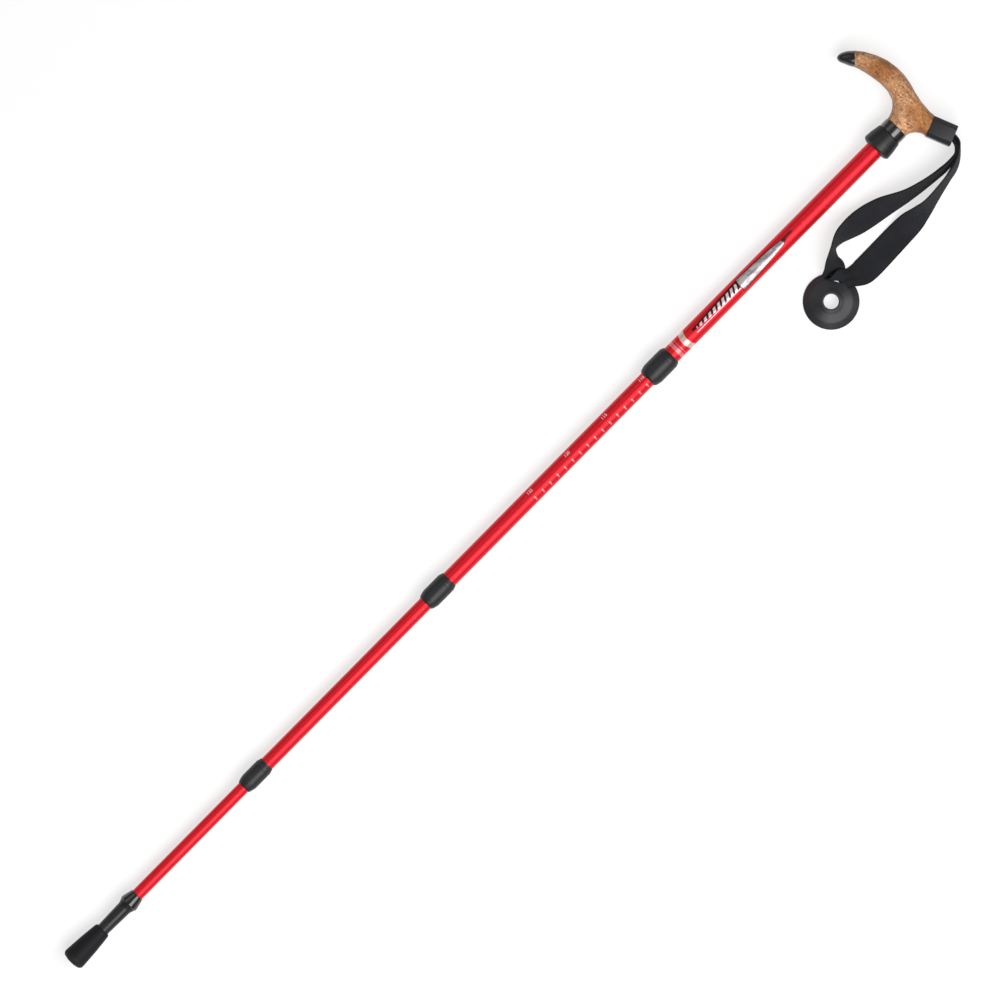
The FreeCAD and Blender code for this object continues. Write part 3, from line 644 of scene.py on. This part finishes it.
black_plastic = plastic("black_plastic", "black_plastic", (0.0065, 0.0068, 0.0080),
                        (0.0110, 0.0115, 0.0135), 0.47)
basket_plastic = plastic("basket_plastic", "black_plastic", (0.0085, 0.0085, 0.010),
                         (0.016, 0.0165, 0.020), 0.41, grain=0.03)
gloss_plastic = plastic("black_gloss", "black_gloss", (0.005, 0.005, 0.006),
                        (0.009, 0.009, 0.010), 0.30, grain=0.004, coat=1.0, specks=0.05)
dress(basket, basket_plastic, "handle", "mud_basket", smooth=38)

# %% [markdown]
# ## The collars
# Each tube but the last carries a plastic collar over its lower end. It wipes the next tube clean
# and hides the lock. Its lower end draws in to the thinner tube, and a shallow witness groove
# shows how it was pressed on.

# %% Collars
def collar(tube, body, start, end):
    """The collar at the lower end of this tube, from start to end in mm past the CAD's ends."""
    low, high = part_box(f"collar_{tube}")
    length, full = (high.x - low.x) / MM + end, high.z / MM
    inside, mouth = TUBE_R[tube] / MM, TUBE_R[tube + 1] / MM + 0.2
    form = turned(f"collar_{tube}_moulding", eased([
        (start, mouth, 0.2), (start, mouth + 0.5, 0.5), (start + 2.0, full - 1.3, 3),
        (start + 6.8, full, 12), (length - 7.4, full), (length - 7.2, full - 0.16, 0.1),
        (length - 6.8, full - 0.16, 0.1), (length - 6.6, full), (length - 4.2, full - 0.1, 4),
        (length - 1.4, full - 1.1, 2.2), (length, inside + 0.5, 0.6), (length, inside + 0.04),
        (4.0, inside + 0.04), (4.0, mouth)]))
    form.location.x = low.x
    settle(form)
    dress(form, black_plastic, body, f"collar_{tube}")


collar(1, "handle", -1.6, -1.8)
collar(2, "section_2", 0.8, -2.2)
collar(3, "section_3", 1.0, 0.2)

# %% [markdown]
# ## Tip holder and foot
# The tip holder is glass-filled nylon: a tapered spigot for the foot, a slim shaft and a
# flared ring that stops the basket. The rubber foot is thick and hollow, with a domed sole, ring
# grooves that grip the ground, and a rounded mouth that grips the holder.

# %% Tip holder
tip_holder = turned("tip_holder_moulding", eased([
    (0, 2.25, 0.2), (0, 5.5, 0.8), (32.5, 6.25), (60.5, 7.05, 9), (64.6, 8.4, 4), (66.0, 9.45, 0.5),
    (68.2, 9.3, 0.8), (77.2, 7.0, 1.5), (78, 6.6, 0.3), (78, 6.03), (59, 6.03), (59, 0), (10, 0),
    (10, 2.25)]))
tip_holder.location.x = HOLDER[0].x
settle(tip_holder)
holder_plastic = plastic("holder_plastic", "black_plastic", (0.005, 0.005, 0.0056),
                         (0.010, 0.010, 0.011), 0.40, grain=0.03, polished_from=77.5)
dress(tip_holder, holder_plastic, "section_4", "tip_holder")

# %% Rubber foot
foot = turned("rubber_foot_moulding", eased([
    (0.3, 0), (0.3, 2.2, 0.3), (1.3, 2.6, 0.3), (1.3, 3.6, 0.3), (0.4, 4.0, 0.3), (0.4, 5.4, 0.3),
    (1.6, 5.8, 0.3), (1.6, 6.7, 0.3), (0.9, 7.1, 0.3), (1.6, 9.5, 2.2), (4.0, 11.3, 2.6), (7.5, 11.2, 6),
    (25, 10.0), (39, 8.55, 9), (42.2, 8.15, 2.4), (43.6, 7.0, 1.2), (43.6, 6.5, 0.4), (12, 5.8),
    (4.0, 5.8), (4.0, 0)]))
rubber = Paint("black_rubber", "rubber", Specular_IOR_Level=0.16)
bloom = rubber.noise(70, 4, 0.65)
pores = rubber.noise(3000, 2, 0.6)
dirt = (rubber.x / MM).below(5, 4) * bloom.above(0.45, 0.2)
tone = (bloom * 0.8 + pores * 0.2).blend((0.0045, 0.0046, 0.0055), (0.0105, 0.0108, 0.0125))
rubber.feed("Base Color", (dirt * 0.25).blend(tone, (0.07, 0.063, 0.055)))
rubber.feed("Roughness", bloom * 0.2 + 0.52)
rubber.bump(pores * 0.6 + bloom * 0.4, 0.06 * MM, 0.6)
dress(foot, rubber.material, "foot", "rubber_foot")

# %% [markdown]
# ## Collar and ring under the handle
# A flared collar guides the hand off the tube, and above it a polished ring covers the joint
# with the cork. Both are turned, the ring with a slight crown so that it catches the light.

# %% Handle collar and neck ring
ferrule = turned("handle_collar_moulding", eased([
    (0, 9.05, 0.3), (0, 11.6, 2.0), (1.6, 14.6, 2.6), (3.6, 15.0, 4), (10.0, 14.55, 20),
    (19.4, 12.95, 0.4), (19.7, 12.6, 0.2), (19.7, 9.05)]))
ferrule.location.x = HANDLE
settle(ferrule)
dress(ferrule, black_plastic, "handle", "handle_collar")
ring = turned("neck_ring_moulding", eased([
    (0.15, 10.5), (0.15, 12.2, 0.3), (0.6, 12.5, 0.5), (5.0, 12.65, 30), (9.4, 12.5, 0.5),
    (9.85, 12.2, 0.3), (9.85, 10.5)]))
ring.location.x = RING
settle(ring)
dress(ring, gloss_plastic, "handle", "neck_ring")

# %% [markdown]
# ## The cork grip
# Cork grips are ground from a glued block, so the form is one smooth bent mass: a horn from the
# strap block to the nose, and a neck that swells out of the ring. Each is lofted, the two are
# melted into one skin and smoothed like a ground block, then the flat ends are sawn. Last, a
# socket is drilled up the neck for the core, which leaves room for the tube's end and its lock.

# %% Lofting and melting the cork
def melt(name, forms, voxel, passes):
    """Joins closed forms into one smooth skin."""
    obj = take(*forms)
    bpy.ops.object.join()
    obj.name = name
    modify(obj, "REMESH", mode="VOXEL", voxel_size=voxel * MM)
    modify(obj, "SMOOTH", factor=0.5, iterations=passes)
    return obj


def spot(x, y, z=0.0):
    """A place counted from the start of the cork, in mm."""
    return Vector((CORK + x * MM, y * MM, z * MM))


HEEL_TILT = math.radians(21.5)
NOSE_TILT = math.radians(46.3)
HEEL_SPOT = (22.65, -21.45)
NOSE_SPOT = (18.0, 73.85)
HEEL = spot(*HEEL_SPOT)
NOSE = spot(*NOSE_SPOT)
HEEL_OUT = Vector((math.sin(HEEL_TILT), -math.cos(HEEL_TILT), 0))
NOSE_OUT = Vector((-math.sin(NOSE_TILT), math.cos(NOSE_TILT), 0))
# (along, across, turn in degrees, half width, half depth, squareness)
HORN = [
    (HEEL_SPOT[0] + 1.1, HEEL_SPOT[1] - 2.8, 21.5, 10.6, 14.9, 0.42),
    (22.4, -16.0, 19, 10.6, 14.9, 0.40),
    (22.4, -9.0, 13, 10.9, 14.9, 0.34), (22.9, 0.0, 5, 10.9, 14.9, 0.28),
    (24.6, 10.5, 0, 11.2, 14.9, 0.22), (26.8, 20.0, 0, 11.9, 14.85, 0.18),
    (29.4, 30.0, 0, 11.0, 14.7, 0.16), (29.5, 40.0, 0, 10.9, 14.3, 0.15),
    (28.1, 50.0, 5, 10.7, 13.7, 0.15), (25.4, 59.5, 12, 9.8, 12.9, 0.16),
    (21.8, 67.6, 30, 8.7, 12.0, 0.18), (*NOSE_SPOT, 46.3, 7.8, 11.2, 0.20),
    (NOSE_SPOT[0] - 1.5, NOSE_SPOT[1] + 1.4, 46.3, 7.6, 11.0, 0.20),
]
# (along, across, half width, half depth)
NECK = [
    (-2.0, 0.0, 11.9, 11.9), (1.0, 0.0, 11.95, 11.95), (3.5, 0.0, 12.5, 12.3),
    (6.5, -0.2, 13.9, 12.9), (9.5, -0.6, 16.0, 13.6), (12.0, -1.4, 18.8, 14.2),
    (14.5, -1.6, 21.6, 14.5), (18.0, -0.5, 22.3, 14.6), (22.0, 0.0, 21.5, 14.4),
]
horn = loft("horn", [(spot(x, y), math.radians(turn), half * MM, deep * MM, square)
                     for x, y, turn, half, deep, square in HORN])
neck = loft("neck", [(spot(x, y), math.pi / 2, half * MM, deep * MM, 0.0)
                     for x, y, half, deep in NECK])
cork = melt("cork_grip_block", [horn, neck], 0.85, 9)
saw_off(cork, HEEL + HEEL_OUT * 0.05 * MM, HEEL_OUT)
saw_off(cork, NOSE + NOSE_OUT * 0.05 * MM, NOSE_OUT)
saw_off(cork, spot(0.05, 0), (-1, 0, 0))

# %% The socket in the cork
SOCKET_RADIUS = 10.6
SOCKET_DEPTH = 24.2
MARGIN = 4.0
clear()
bpy.ops.mesh.primitive_cylinder_add(
    vertices=64, radius=SOCKET_RADIUS * MM, depth=(SOCKET_DEPTH + MARGIN) * MM,
    location=spot((SOCKET_DEPTH - MARGIN) / 2, 0), rotation=(0, math.pi / 2, 0))
socket_drill = bpy.context.object
settle(socket_drill)
modify(cork, "BOOLEAN", object=socket_drill, operation="DIFFERENCE", solver="EXACT")
bpy.data.objects.remove(socket_drill)
tidy_mesh(cork)

# %% Cork finish
cork_paint = Paint("granulated_cork", "cork", Specular_IOR_Level=0.35, Sheen_Weight=0.08)
bent = cork_paint.noise(60, 2, 0.5, out=1)
shifted = bent.node("ShaderNodeVectorMath", {"operation": "MULTIPLY_ADD"},
                    {0: bent, 1: (0.004, 0.004, 0.004), 2: cork_paint.spot})
grains = cork_paint.cells(430, on=shifted, out=1)
grain_tone = grains.node("ShaderNodeSeparateColor", {}, {0: grains})
crumbs = cork_paint.cells(1300, on=shifted)
seams = cork_paint.cells(430, "DISTANCE_TO_EDGE", on=shifted).below(0.05, 0.05)
along_horn = cork_paint.stretched((1.0, 0.22, 0.6), math.radians(8))
streaks = cork_paint.noise(420, 4, 0.62, on=along_horn)
dark_streaks = streaks.above(0.555, 0.05)
pits = cork_paint.noise(520, 3, 0.7, on=cork_paint.stretched((1.0, 0.45, 1.0))).above(0.625, 0.035)
soft_patch = cork_paint.noise(24, 3, 0.55)
broad = cork_paint.noise(70, 3, 0.6, on=cork_paint.stretched((1.0, 0.5, 0.8)))
mottle = (broad * 0.75 + streaks * 0.25).above(0.5, 0.14)
darkest, middle_tone, palest = (0.25, 0.080, 0.017), (0.52, 0.225, 0.068), (0.74, 0.43, 0.24)
body_tone = (grain_tone * 0.45 + mottle * 0.55).blend(darkest, middle_tone)
body_tone = (soft_patch.above(0.50, 0.10) * (0.25 + grain_tone * 0.6)).blend(body_tone, palest)
streaked = (dark_streaks * 0.52).blend(body_tone, (0.17, 0.055, 0.016))
seamed = (seams * 0.45).blend(streaked, (0.15, 0.05, 0.016))
pitted = (pits * 0.85).blend(seamed, (0.045, 0.016, 0.007))
cork_paint.feed("Base Color", pitted)
cork_paint.feed("Roughness", grain_tone * 0.12 + pits * 0.2 + 0.55)
cork_paint.bump(1 - pits * 0.8 - seams * 0.3 - dark_streaks * 0.1 + crumbs * 0.15, 0.35 * MM, 0.75)
dress(cork, cork_paint.material, "handle", "cork_grip", smooth=35)

# %% [markdown]
# ## Nose cap and strap block
# The cap closes the horn with a smooth tapered tip. The block is a chamfered box on the heel: its
# long edges are cut at 45 degrees, and its outer end is inset and pushed in to make the strap's
# slot.

# %% Nose cap
# (out from the joint, along the joint's face, half width, half depth) in mm
CAP = [
    (-1.2, 0.0, 7.7, 11.0), (0.0, 0.0, 7.75, 11.0), (3.0, 0.25, 7.4, 10.8), (6.0, 0.8, 6.9, 10.2),
    (9.0, 1.1, 5.9, 9.3), (12.4, 1.25, 4.7, 7.9), (14.5, 1.2, 3.5, 6.2), (15.8, 1.3, 2.1, 4.4),
    (16.5, 1.3, 0.8, 2.6),
]
NOSE_FACE = Vector((math.cos(NOSE_TILT), math.sin(NOSE_TILT), 0))
cap = loft("nose_form", [(NOSE + NOSE_OUT * out * MM + NOSE_FACE * step * MM, NOSE_TILT,
                          half * MM, deep * MM, 0.22) for out, step, half, deep in CAP])
cap = melt("nose_cap_moulding", [cap], 0.45, 8)
saw_off(cap, NOSE + NOSE_OUT * 0.12 * MM, -NOSE_OUT)
tidy_mesh(cap)
nose_plastic = plastic("nose_plastic", "black_plastic", (0.005, 0.005, 0.006),
                       (0.010, 0.010, 0.011), 0.30, grain=0.02, coat=0.15)
dress(cap, nose_plastic, "handle", "nose_cap", smooth=35)

# %% Strap block
BLOCK_LENGTH = 24.8
BLOCK_HEIGHT = 20.5
BLOCK_DEPTH = 30.0
BLOCK_CHAMFER = 4.0
BLOCK_WALL = 2.0
STRAP_SLOT_DEPTH = 10.0
clear()
middle = HEEL + HEEL_OUT * (BLOCK_LENGTH / 2 + 0.05) * MM
bpy.ops.mesh.primitive_cube_add(size=1, location=middle, rotation=(0, 0, HEEL_TILT),
                                scale=(BLOCK_HEIGHT * MM, BLOCK_LENGTH * MM, BLOCK_DEPTH * MM))
block = bpy.context.object
block.name = "strap_block_moulding"
settle(block)


def pick(obj, test, what="EDGE"):
    """Enters edit mode with only the edges or faces that pass the test selected."""
    take(obj)
    bpy.ops.object.mode_set(mode="EDIT")
    bpy.ops.mesh.select_mode(type=what)
    bpy.ops.mesh.select_all(action="DESELECT")
    bpy.ops.object.mode_set(mode="OBJECT")
    for part in obj.data.edges if what == "EDGE" else obj.data.polygons:
        part.select = test(part)
    bpy.ops.object.mode_set(mode="EDIT")


def along_block(edge):
    """True for an edge that runs out along the block."""
    first, last = [block.data.vertices[i].co for i in edge.vertices]
    return abs((last - first).normalized().dot(HEEL_OUT)) > 0.99


pick(block, along_block)
bpy.ops.mesh.bevel(offset=BLOCK_CHAMFER * MM, segments=1)
bpy.ops.object.mode_set(mode="OBJECT")
pick(block, lambda face: face.normal.dot(HEEL_OUT) > 0.99, "FACE")
bpy.ops.mesh.inset(thickness=BLOCK_WALL * MM)
bpy.ops.mesh.extrude_region_move(
    TRANSFORM_OT_translate={"value": -HEEL_OUT * STRAP_SLOT_DEPTH * MM})
bpy.ops.object.mode_set(mode="OBJECT")
tidy_mesh(block)
modify(block, "BEVEL", width=0.55 * MM, segments=4, limit_method="ANGLE",
       angle_limit=math.radians(25))
dress(block, black_plastic, "handle", "strap_block", smooth=30)

# %% [markdown]
# ## Anodised tubes
# The tubes are aluminium, anodised red. The dye sits in a clear, slightly satin layer over drawn
# metal, so there is a metallic sparkle under a soft sheen, faint lines along the draw and a
# little rubbing round the tube from sliding.

# %% The tubes' finish
def anodised(name):
    """Red anodised aluminium with draw lines, faint rub rings and colour drift."""
    paint = Paint(name, "red_anodised", Metallic=0.72, Coat_Weight=0.05, Coat_Roughness=0.3,
                  Specular_IOR_Level=0.3)
    drawn = paint.noise(1500, 3, 0.6, on=paint.stretched((0.012, 1, 1)))
    rings = paint.noise(300, 2, 0.5, on=paint.stretched((1, 0.02, 0.02)))
    drift = paint.noise(9, 2, 0.5)
    scuffs = paint.noise(500, 3, 0.6, on=paint.stretched((0.35, 1, 1), 0.5)).above(0.70, 0.02)
    paint.red = (drift * 0.6 + drawn * 0.4).blend((0.62, 0.008, 0.017), (0.80, 0.018, 0.030))
    paint.red = (scuffs * 0.3).blend(paint.red, (0.80, 0.22, 0.20))
    paint.rough = drawn * 0.08 + rings * 0.05 + scuffs * 0.12 + 0.36
    paint.relief = drawn * 0.5 + rings * 0.3
    return paint


def finish_tube(paint, name, base):
    """Puts the anodised finish on a CAD tube, with this base colour."""
    paint.feed("Base Color", base)
    paint.feed("Roughness", paint.rough)
    paint.bump(paint.relief, 0.012 * MM, 0.6)
    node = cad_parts[name]
    node.data.materials.clear()
    node.data.materials.append(paint.material)


plain = anodised("red_anodised")
for tube in (3, 4):
    finish_tube(plain, TUBE[tube], plain.red)

# %% [markdown]
# ## The length scale on the second tube
# The pole's length is read on the second tube, where it leaves the first: a tick every
# centimetre, drawn by the tube's material, and a number every five, set as thin ink. Each number
# is cut into strips across, so that it can bend round the tube.

# %% Ticks and numbers
SCALE_START = 621.7
SCALE_STEP = 10.0
SCALE_LENGTH = 150.0
TICKS_PER_NUMBER = 5
NUMBERS = (125, 120, 115, 110)
scaled = anodised("red_anodised_scale")
along = scaled.x / MM
nearest_tick = ((along - SCALE_START) / SCALE_STEP + 0.5).fract() - 0.5
ticks = nearest_tick.size().below(0.07, 0.03)
ticks = ticks * along.between(SCALE_START - 3, SCALE_START + SCALE_LENGTH + 3, 0.3)
ticks = ticks * (scaled.y / MM).between(-6.0, -2.4, 0.5) * (scaled.z / MM).above(0, 0.5)
rubbed = scaled.noise(900, 3, 0.6).above(0.62, 0.05)
finish_tube(scaled, TUBE[2], (ticks * (0.75 - rubbed * 0.4)).blend(scaled.red, (0.90, 0.36, 0.32)))

ink_paint = Paint("pale_ink", "red_anodised", Roughness=0.45)
patches = ink_paint.noise(1100, 3, 0.6)
ink_paint.feed("Base Color", patches.above(0.68, 0.08).blend((0.80, 0.50, 0.50), (0.68, 0.16, 0.17)))
ink_paint.bump(patches, 0.01 * MM, 0.4)
DIGIT_SIZE = 4.6 * MM
DIGIT_BOLD = 0.06 * MM
INK_THICK = 0.02 * MM
STRIP = 0.55 * MM
INK_RADIUS = TUBE_R[2] + 0.03 * MM
for i, number in enumerate(NUMBERS):
    clear()
    bpy.ops.object.text_add(location=(0, 0, 0))
    mark = bpy.context.object
    mark.data.body = str(number)
    mark.data.size = DIGIT_SIZE
    mark.data.extrude = INK_THICK
    mark.data.offset = DIGIT_BOLD
    mark.data.align_x = "CENTER"
    mark.data.align_y = "CENTER"
    bpy.ops.object.convert(target="MESH")
    mark = bpy.context.object
    mark.name = f"scale_number_{number}"
    bpy.ops.object.mode_set(mode="EDIT")
    for cut in range(-3, 4):
        bpy.ops.mesh.select_all(action="SELECT")
        bpy.ops.mesh.bisect(plane_co=(0, cut * STRIP, 0), plane_no=(0, 1, 0))
    bpy.ops.object.mode_set(mode="OBJECT")
    for point in mark.data.vertices:
        angle = (point.co.y + DIGIT_SIZE) / INK_RADIUS
        radius = INK_RADIUS + point.co.z
        point.co = (SCALE_START * MM + TICKS_PER_NUMBER * i * SCALE_STEP * MM + point.co.x,
                    radius * math.sin(angle), radius * math.cos(angle))
    tidy_mesh(mark)
    dress(mark, ink_paint.material, "section_2")

# %% [markdown]
# ## The printed band on the upper tube
# The upper tube carries screen-printed bands under the handle: rings at the collar end, a row of
# slanted bars on black, and a silver leaf-shaped panel that points to the handle. The print is
# generic and says nothing. It is drawn from places on the tube in mm, along it and round it.

# %% Printed bands
printed = anodised("red_anodised_printed")
BARS_START = 838
LEAF_START = 900
LEAF_LENGTH = 62
LEAF_HALF = 5.8
along = printed.x / MM
round_tube = printed.y / MM
facing = (printed.z / MM).above(-2.0, 0.6)
bow = along - round_tube * round_tube * 0.035
pale_rings = along.between(813, 817) + along.between(818.6, 819.4) * 0.8
cream = bow.between(823, 829, 0.3)
wedge_half = 1.3 + (along - BARS_START).most(0.0) * 0.047
wedge = along.between(BARS_START, LEAF_START + 5, 0.5) * facing
wedge = wedge * (wedge_half - (round_tube - 2.1).size()).above(0, 0.25)
slant = (along - round_tube * 0.6 + (along / 21).wave() * 1.6) / 5.6
letterlike = slant.fract().between(0.24, 0.80, 0.05)
bars = along.between(843, 898, 0.4) * letterlike * facing
bars = bars * (wedge_half - 0.5 - (round_tube - 0.9).size()).above(0, 0.25)
fine_line = along.between(840, 900, 0.3) * round_tube.between(-2.8, -2.1, 0.15) * facing
past_start = ((along - LEAF_START) / LEAF_LENGTH).most(0.0)
leaf_half = LEAF_HALF * (1 - past_start).most(0.0) ** 0.42
leaf = bow.between(LEAF_START, LEAF_START + 58, 0.3) * facing
leaf = leaf * (leaf_half - (round_tube - 0.4).size()).above(0, 0.2)
leaf_marks = printed.noise(420, 3, 0.65, on=printed.stretched((0.3, 1, 1), 0.3)).above(0.52, 0.05)
leaf_rim = bow.between(LEAF_START - 0.8, LEAF_START + LEAF_LENGTH, 0.3) * facing
leaf_rim = leaf_rim * (leaf_half + 0.75 - (round_tube - 0.7).size()).above(0, 0.25)
tip_mark = along.between(957, 971, 0.3) * round_tube.between(0.5, 3.4, 0.3) * facing
worn_print = 1 - printed.noise(700, 3, 0.6).above(0.66, 0.03) * 0.5
red = printed.red
ink = (pale_rings.least(1.0) * 0.5 * worn_print).blend(red, (0.86, 0.42, 0.44))
ink = (cream * worn_print * 0.85).blend(ink, (0.72, 0.60, 0.52))
ink = (wedge * 0.94).blend(ink, (0.022, 0.006, 0.008))
ink = (bars * worn_print).blend(ink, (0.66, 0.62, 0.63))
ink = (fine_line * 0.7).blend(ink, (0.90, 0.52, 0.54))
ink = (leaf_rim * 0.85).blend(ink, (0.030, 0.008, 0.010))
ink = (leaf * worn_print).blend(ink, (0.50, 0.47, 0.475))
ink = (leaf * leaf_marks * 0.75).blend(ink, (0.20, 0.18, 0.19))
ink = (tip_mark * 0.85).blend(ink, (0.10, 0.016, 0.02))
finish_tube(printed, TUBE[1], ink)

# %% [markdown]
# ## The hidden parts
# The lock parts show only when the pole is drawn apart, but they get their own finishes: grey
# nylon plugs, white nylon sleeves, brass nuts, plated studs and pins, and a dull sintered tip.

# %% Finishes of the carried-over parts
def metal(name, slot, base, rough, lines):
    """Turned or plated metal with fine lines round its axis."""
    paint = Paint(name, slot, Metallic=1.0)
    turned_lines = paint.noise(lines, 2, 0.6, on=paint.stretched((1, 0.03, 0.03)))
    tarnish = paint.noise(160, 4, 0.6)
    paint.feed("Base Color", tarnish.above(0.5, 0.3).blend(base, tuple(0.72 * c for c in base)))
    paint.feed("Roughness", turned_lines * 0.18 + tarnish * 0.1 + rough)
    paint.bump(turned_lines, 0.02 * MM, 0.6)
    return paint.material


def nylon(name, slot, base):
    """Moulded nylon: slightly cloudy, with a fine grain."""
    paint = Paint(name, slot)
    cloud = paint.noise(220, 3, 0.55)
    grains = paint.noise(2600, 2, 0.6)
    paint.feed("Base Color", cloud.blend(tuple(0.84 * c for c in base), base))
    paint.feed("Roughness", cloud * 0.15 + 0.38)
    paint.bump(grains, 0.03 * MM, 0.5)
    return paint.material


grey_nylon = nylon("grey_nylon", "grey_nylon", (0.22, 0.22, 0.23))
white_nylon = nylon("white_nylon", "white_nylon", (0.75, 0.75, 0.72))
brass = metal("turned_brass", "brass", (0.72, 0.52, 0.20), 0.22, 2600)
plated_steel = metal("plated_steel", "steel", (0.55, 0.55, 0.56), 0.25, 1800)
carbide = metal("sintered_carbide", "carbide", (0.28, 0.28, 0.29), 0.42, 1200)
HIDDEN = {
    "grip_core": grey_nylon, "lock_plug": grey_nylon, "expander_sleeve": white_nylon,
    "cone_nut": brass, "lock_stud": plated_steel, "carbide_tip": carbide,
    "foot_washer": plated_steel, "grip_pin": plated_steel, "strap_pin": plated_steel,
}
finished = 0
for name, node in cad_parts.items():
    for start, paint in HIDDEN.items():
        if name.startswith(start):
            node.data.materials.clear()
            node.data.materials.append(paint)
            finished += 1
print(f"{finished} carried-over parts finished")
